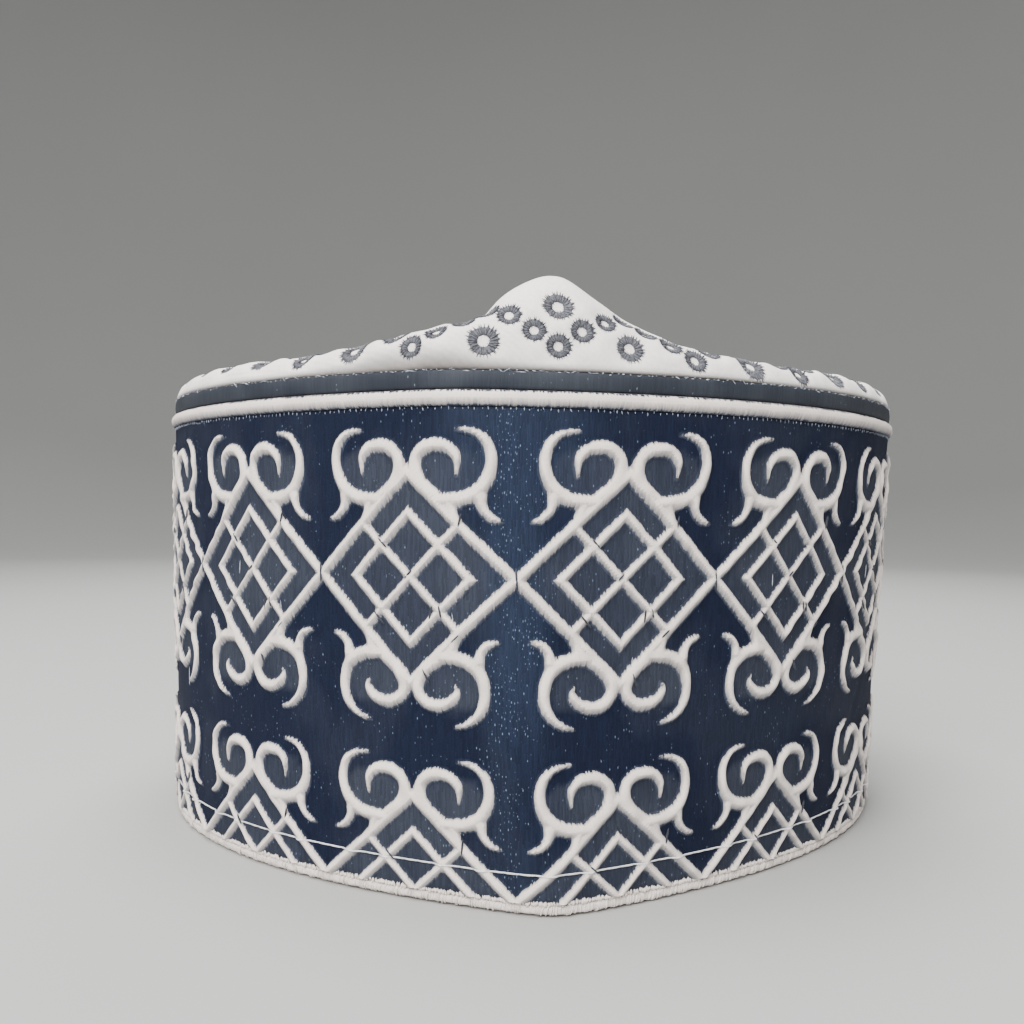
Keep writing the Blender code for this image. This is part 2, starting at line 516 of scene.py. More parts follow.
def eyelet_drop(share):
    """How much closer to the seam the eyelets come, in millimetres, at a share of the edge."""
    away = ((share - CROWN_PHASE + 0.5) % 1.0 - 0.5) * CROWN_REPEATS
    places, drops = np.array(EYELET_DROP).T
    return np.interp(away, places, drops)


def crown_lift(share, reach, settings):
    """How far the cloth stands out of the plain crown, at a share of the edge and a distance up the cloth."""
    repeat = GIRTH / CROWN_REPEATS * 1000.0
    across = ((share - CROWN_PHASE) * CROWN_REPEATS + 0.5) % 1.0 - 0.5
    up = reach * 1000.0
    drop = eyelet_drop(share)
    held = np.zeros(np.broadcast(share, reach).shape)
    for place, height, outer, _ in EYELETS:
        for turn in (-1, 0, 1):
            away = np.hypot((across - place - turn) * repeat, up - height + drop)
            held = np.maximum(held, np.exp(-((away / (outer * PINCH_REACH)) ** 2)))
    open_cloth = np.clip(up / QUILT_FULL, 0.0, 1.0) * np.exp(-np.maximum(0.0, up - QUILT_END) / QUILT_FADE)
    away = ((share - FRONT_SHARE) * GIRTH - HOLLOW_PLACE) / HOLLOW_REACH
    hollow = settings.hollow * np.exp(-(away**2))
    creases = settings.crease * ripple((share - 0.5) * GIRTH, reach, seed=31, length=0.05, count=8)
    fading = np.clip(up / CREASE_FULL, 0.0, 1.0) * np.clip((CREASE_END - up) / CREASE_FADE, 0.0, 1.0)
    sinking = np.clip((up - HOLLOW_START) / HOLLOW_FADE, 0.0, 1.0) ** 2 * fading
    away = ((share - FRONT_SHARE) * GIRTH - BULGE_PLACE) / BULGE_REACH
    bulge = settings.bulge * np.exp(-(away**2) - ((up - BULGE_HEIGHT) / BULGE_SPREAD) ** 2)
    bulge = bulge * np.clip(up / BULGE_FULL, 0.0, 1.0)
    quilted = open_cloth * (settings.swell * (1.0 - held) - settings.pinch * held)
    return quilted + creases * fading + bulge - hollow * sinking


class CrownCloth:
    """The crown's outer surface, read at a share of its edge and a distance up the cloth."""

    columns = 2100
    reach = 0.042
    step = 0.0003

    def __init__(self, settings):
        shares = np.arange(self.columns) / self.columns
        heights = np.arange(0.0, self.reach, self.step)
        self.places = meridians(shares, heights, np.zeros(len(heights)))
        lift = crown_lift(shares[:, None], heights[None, :], settings)
        self.places = self.places + surface_normals(self.places) * lift[..., None]
        self.normals = surface_normals(self.places)

    def read(self, table, share, height):
        column = (share % 1.0) * self.columns
        row = np.clip(height / self.step, 0.0, table.shape[1] - 1.001)
        left = column.astype(int) % self.columns
        right = (left + 1) % self.columns
        low = row.astype(int)
        slide = (column - column.astype(int))[:, None]
        climb = (row - low)[:, None]
        lower = between(table[left, low], table[right, low], slide)
        upper = between(table[left, low + 1], table[right, low + 1], slide)
        return between(lower, upper, climb)

    def place(self, share, height, lift):
        return self.read(self.places, share, height) + self.read(self.normals, share, height) * lift[:, None]


def surface_normals(places):
    """Unit normals of a grid of points that closes round its first axis."""
    along = np.roll(places, -1, axis=0) - np.roll(places, 1, axis=0)
    up = np.gradient(places, axis=1)
    normals = np.cross(along, up)
    return normals / np.maximum(np.linalg.norm(normals, axis=2, keepdims=True), 1e-12)


def meridians(shares, heights, inner):
    """Points up the crown: each row is a cloth distance, and a share of the way left to the middle."""
    angle = angle_at(shares, np.full(len(shares), SEAM_HEIGHT))
    edge = band_place(angle, SEAM_HEIGHT, -GAP)
    edge_x = edge[:, 0] - AXIS_X
    edge_y = edge[:, 1] - AXIS_Y
    radius = np.hypot(edge_x, edge_y)
    steps = np.linspace(0.0, 1.0, MERIDIAN_STEPS) ** 2
    places = []
    for index in range(len(shares)):
        inwards = radius[index] * steps
        x = edge_x[index] * (1.0 - steps)
        y = edge_y[index] * (1.0 - steps)
        rise = SEAM_RISER + crown_rise(x, y, inwards, angle[index])
        inwards = np.concatenate([[0.0], inwards])
        rise = np.concatenate([[0.0], rise])
        run = np.concatenate([[0.0], np.cumsum(np.hypot(np.diff(inwards), np.diff(rise)))])
        wanted = heights + inner * (run[-1] - heights)
        kept = 1.0 - np.interp(wanted, run, inwards) / radius[index]
        z = CROWN_FOOT + np.interp(wanted, run, rise)
        places.append(np.stack([edge_x[index] * kept + AXIS_X, edge_y[index] * kept + AXIS_Y, z], -1))
    return np.array(places)


def mesh_object(name, points, faces, uv=None, material=None, **attributes):
    """A new object from points and faces, with a flat map for its corners and values for its points."""
    mesh = bpy.data.meshes.new(name)
    mesh.from_pydata(np.asarray(points).tolist(), [], faces if isinstance(faces, list) else faces.tolist())
    for key, values in attributes.items():
        add_values(mesh, key, values)
    if uv is not None:
        lay_map(mesh, uv)
    if material:
        mesh.materials.append(material)
    mesh.shade_smooth()
    obj = bpy.data.objects.new(name, mesh)
    bpy.context.scene.collection.objects.link(obj)
    return obj


def add_values(mesh, key, values):
    layer = mesh.attributes.new(key, "FLOAT", "POINT")
    layer.data.foreach_set("value", np.asarray(values, np.float32).ravel())


def lay_map(mesh, corner_places):
    layer = mesh.uv_layers.new(name="flat")
    layer.uv.foreach_set("vector", np.asarray(corner_places, np.float32).ravel())


def corner_vertices(mesh):
    corners = np.empty(len(mesh.loops), np.int32)
    mesh.loops.foreach_get("vertex_index", corners)
    return corners


def vertex_places(mesh):
    places = np.empty(len(mesh.vertices) * 3, np.float32)
    mesh.vertices.foreach_get("co", places)
    return places.reshape(-1, 3).astype(float)


def vertex_flat_places(mesh):
    """The flat place of each point, from the map of its corners."""
    corners = corner_vertices(mesh)
    uv = np.empty(len(corners) * 2, np.float32)
    mesh.uv_layers["flat"].uv.foreach_get("vector", uv)
    flat = np.zeros((len(mesh.vertices), 2))
    flat[corners] = uv.reshape(-1, 2)
    return flat


def move_vertices(mesh, places):
    mesh.vertices.foreach_set("co", np.asarray(places, np.float32).ravel())
    mesh.update()


def rework(mesh, job):
    """Runs one bmesh job on a mesh."""
    bm = bmesh.new()
    bm.from_mesh(mesh)
    job(bm)
    bm.to_mesh(mesh)
    bm.free()
    mesh.shade_smooth()


def close_seam(mesh):
    rework(mesh, lambda bm: bmesh.ops.remove_doubles(bm, verts=bm.verts, dist=SEAM_MERGE))


def face_outwards(mesh):
    rework(mesh, lambda bm: bmesh.ops.recalc_face_normals(bm, faces=bm.faces))


def finish_piece(obj, replaced=()):
    """Makes a piece ride on the hat and hides the solids that it stands for."""
    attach(obj, "root")
    if replaced:
        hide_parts(*replaced)


def steps_round(count):
    """Places at equal steps along the band, from the middle of the back."""
    return (np.arange(count) / count - 0.5) * GIRTH


def faces_round(columns, rows, tube=True):
    """Faces of a sheet that closes round the hat, and of a tube where its last row meets its first."""
    column = np.arange(columns)[:, None]
    here = column * rows
    there = (column + 1) % columns * rows
    low = np.arange(rows if tube else rows - 1)[None, :]
    high = (low + 1) % rows
    return np.stack([here + low, there + low, there + high, here + high], -1).reshape(-1, 4)


def ring_piece(name, section, columns, material, waviness=None, **attributes):
    """Sweeps a closed section of (lift, height) corners round the band, its outer face upwards first."""
    section = np.asarray(section, float)
    along = steps_round(columns)[:, None]
    grid_along, lift, height = np.broadcast_arrays(along, section[None, :, 0], section[None, :, 1])
    if waviness is not None:
        lift = lift + waviness(grid_along, height)
    points = wrap_band(grid_along, height, lift).reshape(-1, 3)
    run = np.concatenate([[0.0], np.cumsum(np.hypot(*np.diff(section, axis=0).T))]) + section[0, 1]
    next_run = np.append(run[1:], run[-1])
    left, bottom, top = np.broadcast_arrays(along, run[None, :], next_run[None, :])
    right = left + GIRTH / columns
    uv = np.stack([left, bottom, right, bottom, right, top, left, top], -1).reshape(-1, 2)
    spread = {key: np.tile(np.asarray(values), columns) for key, values in attributes.items()}
    return mesh_object(name, points, faces_round(columns, len(section)), uv, material, **spread)


def smooth_line(rows, steps=7):
    """A smooth line through the rows of a stroke, each (across, up, half width)."""
    rows = np.asarray(rows, float)
    if len(rows) < 3:
        return rows
    padded = np.vstack([2 * rows[0] - rows[1], rows, 2 * rows[-1] - rows[-2]])
    line = [rows[:1]]
    share = (np.arange(steps) + 1)[:, None] / steps
    for before, start, end, after in zip(padded, padded[1:], padded[2:], padded[3:]):
        line.append(
            0.5
            * (
                2 * start
                + (end - before) * share
                + (2 * before - 5 * start + 4 * end - after) * share**2
                + (3 * start - before - 3 * end + after) * share**3
            )
        )
    return np.vstack(line)


def stroke_depth(x, y, rows):
    """How deep points lie inside a stroke, in millimetres, and below zero outside it."""
    line = smooth_line(rows)
    depth = np.full(x.shape, -1e3)
    for start, end in zip(line, line[1:]):
        run = end[:2] - start[:2]
        share = np.clip(((x - start[0]) * run[0] + (y - start[1]) * run[1]) / (run @ run), 0.0, 1.0)
        away = np.hypot(x - start[0] - share * run[0], y - start[1] - share * run[1])
        depth = np.maximum(depth, between(start[2], end[2], share) - away)
    return depth


def blend_depths(first, second, softness):
    """The union of two shapes, with a fillet where they meet."""
    near = np.clip(0.5 + 0.5 * (first - second) / softness, 0.0, 1.0)
    return between(second, first, near) + softness * near * (1.0 - near)


def diamond_depth(x, y, diamond):
    """Depth inside the line of a diamond whose corners are sharp."""
    half_width, half_height, half_line = diamond
    slope = math.hypot(1.0 / half_width, 1.0 / half_height)
    return half_line - np.abs(x / half_width + y / half_height - 1.0) / slope


def motif_depth(across, up):
    """Depth inside the white of one motif at points in millimetres from its middle."""
    x = np.abs(across)
    y = np.abs(up)
    lattice = np.maximum(diamond_depth(x, y, INNER_DIAMOND), stroke_depth(x, y, CROSS_ARM))
    outer = diamond_depth(x, y, OUTER_DIAMOND)
    halves = []
    for scroll, hook, tail in ((SCROLL_TOP, HOOK_TOP, TAIL_TOP), (SCROLL_BOTTOM, HOOK_BOTTOM, TAIL_BOTTOM)):
        horns = blend_depths(stroke_depth(x, y, hook), stroke_depth(x, y, tail), TAIL_FILLET)
        horns = blend_depths(horns, stroke_depth(x, y, WEB), WEB_FILLET)
        shape = blend_depths(outer, stroke_depth(x, y, scroll), SCROLL_FILLET)
        halves.append(blend_depths(blend_depths(shape, horns, SCROLL_FILLET), lattice, LATTICE_FILLET))
    return np.where(up >= 0.0, halves[0], halves[1])


def row_depth(across, up):
    """Depth inside the white of a row of motifs, of which the middle one and its neighbours count."""
    depths = [motif_depth(across - 2.0 * MOTIF_HALF_WIDTH * turn, up) for turn in (-1, 0, 1)]
    return np.maximum.reduce(depths)


def slant(along, rise, tier):
    """How far the cloth of a tier is pulled aside at a rise over the tier's middle."""
    fan = tier[4] * np.sin(4.0 * np.pi * along / GIRTH)
    return tier[3] * rise + fan * np.maximum(rise, 0.0)


def tier_place(along, height, tier):
    """Millimetres across and up from the middle of the nearest motif of a tier."""
    middle, stretch, shift = tier[:3]
    along = along - shift - slant(along, height - middle, tier)
    across = (along / PITCH % 1.0 - 0.5) * PITCH / MM
    return across, (height - middle) / stretch / MM


def enclosed(across, up):
    """One inside the diamond and the horns of a motif, where the navy looks greyer, and zero outside."""
    x = np.abs(across)
    y = np.abs(up)
    diamond = 1.0 - (x / OUTER_DIAMOND[0] + y / OUTER_DIAMOND[1])
    hollow_x, hollow_y, half_width, half_height = HORN_HOLLOW
    ball = 1.0 - np.hypot((x - hollow_x) / half_width, (y - hollow_y) / half_height)
    return np.clip(np.maximum(diamond, ball) * GREY_SHARPNESS + 0.5, 0.0, 1.0)


def ground_grey(along, height):
    """How grey the navy is at a flat place, from the motif that it lies in."""
    return np.maximum.reduce([enclosed(*tier_place(along, height, tier)) for tier in TIERS])


def puff_profile(depth, puff):
    """Height of the cloth over the band's face at a depth inside the white, in metres."""
    skirt = np.interp(depth, [PUFF_SKIRT, PUFF_FOOT, 0.0], [SKIRT_SINK, 0.0, 0.25 * puff])
    round_share = np.clip(depth / PUFF_ROUNDING, 0.0, 1.0)
    crest = 0.75 * puff * np.sin(0.5 * np.pi * round_share)
    wide = 0.15 * puff * np.clip(depth - PUFF_ROUNDING, 0.0, 1.0)
    return skirt + crest + wide


def flat_motif(name, low, high, settings, material):
    """One repeat of the raised cloth, flat, from low to high in millimetres from the tier's middle."""
    grid = settings.chart_grid / MM
    across = np.linspace(-MOTIF_HALF_WIDTH, MOTIF_HALF_WIDTH, round(2 * MOTIF_HALF_WIDTH / grid) + 1)
    up = np.linspace(low, high, round((high - low) / grid) + 1)
    x, y = np.meshgrid(across, up, indexing="ij")
    depth = row_depth(x, y)
    nudge = 0.05
    slope_x = (row_depth(x + nudge, y) - row_depth(x - nudge, y)) / (2 * nudge)
    slope_y = (row_depth(x, y + nudge) - row_depth(x, y - nudge)) / (2 * nudge)
    inner = np.zeros(x.shape, bool)
    inner[1:-1, 1:-1] = True
    for level in (0.0, PUFF_FOOT):
        away = depth - level
        near = (np.abs(away) < 0.42 * grid) & inner
        x = np.where(near, x - away * slope_x, x)
        y = np.where(near, y - away * slope_y, y)
        depth = np.where(near, level, depth)
    lift = puff_profile(depth, settings.puff)
    index = np.arange(x.size).reshape(x.shape)
    wanted = depth > PUFF_SKIRT
    cell = wanted[:-1, :-1] | wanted[1:, :-1] | wanted[:-1, 1:] | wanted[1:, 1:]
    quads = np.stack([index[:-1, :-1], index[1:, :-1], index[1:, 1:], index[:-1, 1:]], -1)[cell]
    used, faces = np.unique(quads, return_inverse=True)
    points = np.stack([(x + MOTIF_HALF_WIDTH) * MM, y * MM, lift], -1).reshape(-1, 3)[used]
    return mesh_object(
        name,
        points,
        faces.reshape(-1, 4),
        material=material,
        inside=depth.ravel()[used],
        under=slope_y.ravel()[used],
        grey=enclosed(x, y).ravel()[used],
    )


class Net:
    """Adds nodes to a tree and links them in one line each."""

    def __init__(self, tree):
        self.tree = tree

    def feed(self, socket, value):
        if isinstance(value, bpy.types.NodeSocket):
            self.tree.links.new(value, socket)
        else:
            socket.default_value = value

    def node(self, kind, feeds=None, **settings):
        node = self.tree.nodes.new(kind)
        for key, value in settings.items():
            setattr(node, key, value)
        for key, value in (feeds or {}).items():
            self.feed(node.inputs[key], value)
        return node

    def out(self, kind, feeds=None, output=0, **settings):
        return self.node(kind, feeds, **settings).outputs[output]

    def math(self, operation, *values, clamp=False):
        return self.out("ShaderNodeMath", dict(enumerate(values)), operation=operation, use_clamp=clamp)

    def plus(self, first, second):
        return self.math("ADD", first, second)

    def minus(self, first, second):
        return self.math("SUBTRACT", first, second)

    def times(self, first, second, clamp=False):
        return self.math("MULTIPLY", first, second, clamp=clamp)

    def over(self, first, second):
        return self.math("DIVIDE", first, second)

    def arch(self, share, peak):
        """A value that is zero at both ends of a share and a quarter of the peak in its middle."""
        return self.times(self.times(share, self.minus(1.0, share)), peak)

    def ramp(self, value, low, high, to_low=0.0, to_high=1.0, kind="SMOOTHSTEP"):
        feeds = {"Value": value, "From Min": low, "From Max": high, "To Min": to_low, "To Max": to_high}
        return self.out("ShaderNodeMapRange", feeds, interpolation_type=kind)

    def vector(self, **parts):
        return self.out("ShaderNodeCombineXYZ", parts)

    def mix(self, share, first, second):
        """A blend of two colours, each a socket or red, green and blue."""
        first, second = (
            each if isinstance(each, bpy.types.NodeSocket) else (*each, 1.0) for each in (first, second)
        )
        return self.out("ShaderNodeMix", {0: share, 6: first, 7: second}, 2, data_type="RGBA")

    def tint(self, colour, value):
        """A colour made darker or lighter by a value."""
        colour = colour if isinstance(colour, bpy.types.NodeSocket) else tuple(colour)
        return self.out("ShaderNodeVectorMath", {0: colour, "Scale": value}, operation="SCALE")

    def held(self, name):
        """What the piece's own points hold under this name."""
        return self.out("ShaderNodeAttribute", output="Fac", attribute_name=name)

    def flat_place(self):
        return self.out("ShaderNodeUVMap", uv_map="flat")

    def object_place(self):
        return self.out("ShaderNodeTexCoord", output="Object")

    def noise(self, place, scale, detail, dimensions="3D"):
        feeds = {"Vector": place, "Scale": scale, "Detail": detail}
        return self.out("ShaderNodeTexNoise", feeds, noise_dimensions=dimensions)

    def draw(self, key, place, dimensions):
        """A random value for each place."""
        return self.out("ShaderNodeTexWhiteNoise", {key: place}, "Value", noise_dimensions=dimensions)

    def group(self, name, **feeds):
        """The outputs of a shared group."""
        return self.node("ShaderNodeGroup", feeds, node_tree=shared_tree(name)).outputs


def open_tree(name, kind, inputs, outputs):
    """A new node tree with named sockets, as its net, what it is given and what it has to put out."""
    tree = bpy.data.node_groups.new(name, kind)
    for key, socket, default in inputs:
        made = tree.interface.new_socket(key, in_out="INPUT", socket_type="NodeSocket" + socket)
        if default is not None:
            made.default_value = default
    for key, socket in outputs:
        tree.interface.new_socket(key, in_out="OUTPUT", socket_type="NodeSocket" + socket)
    net = Net(tree)
    given = net.node("NodeGroupInput").outputs
    return net, given, net.node("NodeGroupOutput").inputs


def close_tree(net, wanted, *values):
    for socket, value in zip(wanted, values):
        net.feed(socket, value)
    return net.tree


def close_growth(net, given, wanted, copies):
    """Ends a geometry tree: what it has grown gets the material that the tree was given."""
    painted = {"Geometry": copies, "Material": given["Material"]}
    return close_tree(net, wanted, net.out("GeometryNodeSetMaterial", painted))


def repeat_tree(name):
    """Sets copies of a flat motif in a row and joins their edges."""
    inputs = (
        ("Geometry", "Geometry", None),
        ("Count", "Int", REPEATS),
        ("Pitch", "Float", PITCH),
        ("Start", "Float", 0.0),
        ("Material", "Material", None),
    )
    net, given, wanted = open_tree(name, "GeometryNodeTree", inputs, (("Geometry", "Geometry"),))
    line = {
        "Count": given["Count"],
        "Start Location": net.vector(X=given["Start"]),
        "Offset": net.vector(X=given["Pitch"]),
    }
    row = net.out("GeometryNodeMeshLine", line, mode="OFFSET")
    copies = net.out("GeometryNodeInstanceOnPoints", {"Points": row, "Instance": given["Geometry"]})
    real = net.out("GeometryNodeRealizeInstances", {"Geometry": copies})
    joined = net.out("GeometryNodeMergeByDistance", {"Geometry": real, "Distance": REPEAT_MERGE})
    return close_growth(net, given, wanted, joined)


def stitch_tree(name):
    """Lays one thread stitch on each point, turned, stretched and thickened by the point's own values."""
    inputs = (
        ("Geometry", "Geometry", None),
        ("Segments", "Int", 5),
        ("Sides", "Int", 5),
        ("Thread Radius", "Float", 0.0002),
        ("End Taper", "Float", 0.45),
        ("Length Jitter", "Float", 0.0),
        ("Turn Jitter", "Float", 0.0),
        ("Seed", "Int", 0),
        ("Material", "Material", None),
    )
    net, given, wanted = open_tree(name, "GeometryNodeTree", inputs, (("Geometry", "Geometry"),))
    line = {"Count": given["Segments"], "Start Location": (-0.5, 0.0, 0.0), "Offset": (0.5, 0.0, 0.0)}
    curve = net.out("GeometryNodeMeshToCurve", {0: net.out("GeometryNodeMeshLine", line, mode="END_POINTS")})
    middle = net.arch(net.out("GeometryNodeSplineParameter"), 4.0)
    roundness = net.math("POWER", net.plus(middle, 0.0001), given["End Taper"])
    ring = net.out("GeometryNodeCurvePrimitiveCircle", {"Resolution": given["Sides"], "Radius": 1.0})
    tube = net.out(
        "GeometryNodeCurveToMesh",
        {"Curve": curve, "Profile Curve": ring, "Fill Caps": True, "Scale": roundness},
    )
    turn, reach, width = (
        net.out("GeometryNodeInputNamedAttribute", {"Name": key}, "Attribute", data_type="FLOAT")
        for key in ("turn", "reach", "width")
    )
    jitter = given["Length Jitter"]
    stretch = {2: net.minus(1.0, jitter), 3: net.plus(1.0, jitter), "Seed": given["Seed"]}
    sway = {2: net.times(given["Turn Jitter"], -1.0), 3: given["Turn Jitter"], "Seed": given["Seed"]}
    reach = net.times(reach, net.out("FunctionNodeRandomValue", stretch, 1, data_type="FLOAT"))
    turn = net.plus(turn, net.out("FunctionNodeRandomValue", sway, 1, data_type="FLOAT"))
    thread = net.times(width, given["Thread Radius"])
    stitches = {
        "Points": given["Geometry"],
        "Instance": tube,
        "Rotation": net.vector(Z=turn),
        "Scale": net.vector(X=reach, Y=thread, Z=thread),
    }
    copies = net.out("GeometryNodeInstanceOnPoints", stitches)
    return close_growth(net, given, wanted, net.out("GeometryNodeRealizeInstances", {"Geometry": copies}))


def stitch_rows_group(name):
    """Upright stitches side by side: a shade and a height for each, and an uneven end for each row."""
    inputs = (("Flat", "Vector", None), ("Pitch", "Float", 0.0003), ("Length", "Float", 0.003))
    outputs = (("Shade", "Float"), ("Height", "Float"), ("Bite", "Float"))
    net, given, wanted = open_tree(name, "ShaderNodeTree", inputs, outputs)
    along, height, _ = net.node("ShaderNodeSeparateXYZ", {0: given["Flat"]}).outputs
    sway = net.times(net.noise(given["Flat"], scale=260.0, detail=1.0, dimensions="2D"), ROW_SWAY)
    column = net.over(net.plus(along, sway), given["Pitch"])
    row = net.math("FLOOR", column)
    within = net.minus(column, row)
    start = net.draw("W", row, "1D")
    climb = net.plus(net.over(height, given["Length"]), start)
    stitch = net.math("FLOOR", climb)
    inside = net.minus(climb, stitch)
    shade = net.draw("Vector", net.vector(X=row, Y=stitch), "2D")
    relief = net.times(net.arch(within, 4.0), net.math("MINIMUM", net.arch(inside, 14.0), 1.0))
    step = net.math("FLOOR", net.plus(net.over(height, BITE_STEP), start))
    bite = net.draw("Vector", net.vector(X=row, Y=step), "2D")
    return close_tree(net, wanted, shade, relief, bite)


def flecks_group(name):
    """Small white flecks of cloth that show between the stitches."""
    inputs = (
        ("Flat", "Vector", None),
        ("Spacing", "Float", 0.0012),
        ("Size", "Float", 0.2),
        ("Share", "Float", 0.1),
    )
    net, given, wanted = open_tree(name, "ShaderNodeTree", inputs, (("Mask", "Float"),))
    upright = {0: given["Flat"], 1: (1.0, FLECK_SHAPE, 1.0)}
    stretched = net.out("ShaderNodeVectorMath", upright, operation="MULTIPLY")
    cells = {"Vector": stretched, "Scale": net.over(1.0, given["Spacing"]), "Randomness": 1.0}
    cells = net.node("ShaderNodeTexVoronoi", cells, voronoi_dimensions="2D").outputs
    first, second, third = net.node("ShaderNodeSeparateColor", {0: cells["Color"]}).outputs
    chosen = net.math("LESS_THAN", first, given["Share"])
    size = net.times(given["Size"], net.plus(0.5, second))
    near = net.ramp(net.over(cells["Distance"], size), 0.4, 1.5, 1.0, 0.0)
    bright = net.plus(0.15, net.times(third, 0.85))
    return close_tree(net, wanted, net.times(chosen, net.times(near, bright)))


def soft_cloth_group(name):
    """Fine weave and soft unevenness of white cloth, as a shade near one and a height."""
    inputs = (("Place", "Vector", None), ("Thread", "Float", 0.0003))
    outputs = (("Shade", "Float"), ("Height", "Float"))
    net, given, wanted = open_tree(name, "ShaderNodeTree", inputs, outputs)
    scale = net.over(1.0, given["Thread"])
    bands = {"Vector": given["Place"], "Scale": net.times(scale, 0.16), "Distortion": 1.2}
    weave = net.out("ShaderNodeTexWave", bands, "Fac", wave_type="BANDS", bands_direction="DIAGONAL")
    fuzz = net.noise(given["Place"], scale=net.times(scale, 0.5), detail=3.0)
    cloud = net.noise(given["Place"], scale=70.0, detail=3.0)
    shade = net.plus(net.ramp(fuzz, 0.25, 0.75, -0.05, 0.05), net.ramp(cloud, 0.3, 0.7, 0.94, 1.04))
    return close_tree(net, wanted, shade, net.plus(net.times(weave, 0.5), fuzz))


TREES = {
    "kufi repeats": repeat_tree,
    "kufi stitches": stitch_tree,
    "kufi stitch rows": stitch_rows_group,
    "kufi flecks": flecks_group,
    "kufi soft cloth": soft_cloth_group,
}


def shared_tree(name):
    """A node tree, which is built where it is first used."""
    return bpy.data.node_groups.get(name) or TREES[name](name)


def grow(obj, tree_name, **values):
    """Runs a geometry tree on an object with named inputs and keeps the result as its plain mesh."""
    modifier = obj.modifiers.new("growth", "NODES")
    modifier.node_group = shared_tree(tree_name)
    wanted = {key.replace("_", " "): value for key, value in values.items()}
    for item in modifier.node_group.interface.items_tree:
        if item.in_out == "INPUT" and item.name in wanted:
            modifier[item.identifier] = wanted[item.name]
    bpy.context.view_layer.update()
    graph = bpy.context.evaluated_depsgraph_get()
    mesh = bpy.data.meshes.new_from_object(
        obj.evaluated_get(graph), preserve_all_data_layers=True, depsgraph=graph
    )
    obj.modifiers.clear()
    old = obj.data
    obj.data = mesh
    bpy.data.meshes.remove(old)
    mesh.name = obj.name
    mesh.shade_smooth()


def stitch_points(name, x, y, turn, reach, width, lift=0.0):
    """Points for the stitch tree, in flat cloth coordinates."""
    x, y, turn, reach, width, lift = np.broadcast_arrays(x, y, turn, reach, width, lift)
    points = np.stack([x, y, lift], -1).reshape(-1, 3)
    return mesh_object(name, points, [], turn=turn, reach=reach, width=width)


def stitch_on_band(points, material, **values):
    """Grows stitches on flat points and wraps them round the band."""
    grow(points, "kufi stitches", Material=material, End_Taper=0.3, **values)
    move_vertices(points.data, wrap_band(*vertex_places(points.data).T))
    face_outwards(points.data)


def edge_stitches(name, thread, seed, count, middle, reach, radius):
    """A dense row of short upright stitches over the edge of a trim."""
    draw = np.random.default_rng(seed)
    along = steps_round(count) + draw.normal(0.0, 0.00012, count)
    height = middle + draw.normal(0.0, 0.00010, count)
    turn = 0.5 * np.pi + draw.normal(0.0, 0.20, count)
    reach = draw.uniform(*reach, count)
    points = stitch_points(name, along, height, turn, reach, draw.uniform(0.7, 1.3, count), 0.0001)
    stitch_on_band(points, thread, Segments=4, Sides=4, Thread_Radius=radius, Seed=seed)
    finish_piece(points)


class Finish(Net):
    """The net of a new material, whose plain values sit on its shader."""

    def __init__(self, name, roughness, sheen=0.0, specular=0.3):
        self.material = bpy.data.materials.new(name)
        self.material.use_nodes = True
        super().__init__(self.material.node_tree)
        self.shader = self.tree.nodes["Principled BSDF"].inputs
        self.shader["Roughness"].default_value = roughness
        self.shader["Sheen Weight"].default_value = sheen
        self.shader["Sheen Roughness"].default_value = 0.5
        self.shader["Specular IOR Level"].default_value = specular

    def close(self, colour, height=None, depth=0.0):
        """Gives the shader its colour and its relief, whose depth is in metres."""
        self.feed(self.shader["Base Color"], colour)
        if height is not None:
            relief = {"Strength": 1.0, "Distance": depth, "Height": height}
            self.feed(self.shader["Normal"], self.out("ShaderNodeBump", relief))
        return self.material


def navy_ground_colour(net, flat, settings):
    """Colour of the navy stitching at a flat place, and what the stitch rows put out there."""
    sizes = {"Pitch": settings.stitch_pitch, "Length": settings.stitch_length}
    rows = net.group("kufi stitch rows", Flat=flat, **sizes)
    grey = net.held("grey")
    cloud = net.noise(flat, scale=45.0, detail=2.0, dimensions="2D")
    along, height, _ = net.node("ShaderNodeSeparateXYZ", {0: flat}).outputs
    fold = net.ramp(net.math("ABSOLUTE", along), *FOLD_BREADTH)
    share = net.plus(net.times(grey, 0.75), net.ramp(cloud, 0.35, 0.65, -0.1, 0.22))
    base = net.mix(net.times(share, 1.0, clamp=True), settings.navy, settings.slate)
    low_wear = net.times(fold, net.ramp(height, *FOLD_WEAR))
    # Navy paler near the top of the front.
    top_paling = net.times(net.ramp(net.math("ABSOLUTE", along), *TOP_BREADTH), net.ramp(height, *TOP_PALING))
    paled = net.mix(net.math("MAXIMUM", low_wear, top_paling), base, PALE_NAVY)
    lit = net.tint(paled, net.ramp(rows["Shade"], 0.0, 1.0, 0.84, 1.20, "LINEAR"))
    density = net.plus(0.095, net.times(fold, 0.36))
    patches = net.noise(flat, scale=120.0, detail=1.0, dimensions="2D")
    density = net.times(density, net.ramp(patches, 0.40, 0.62, 0.15, 2.2))
    flecks = net.group("kufi flecks", Flat=flat, Spacing=0.00062, Size=0.105, Share=density)
    return net.mix(flecks["Mask"], lit, NAVY_FLECK), rows


def navy_material(settings):
    net = Finish("navy embroidery", roughness=0.75, specular=0.15)
    colour, rows = navy_ground_colour(net, net.flat_place(), settings)
    return net.close(colour, rows["Height"], depth=0.00006)


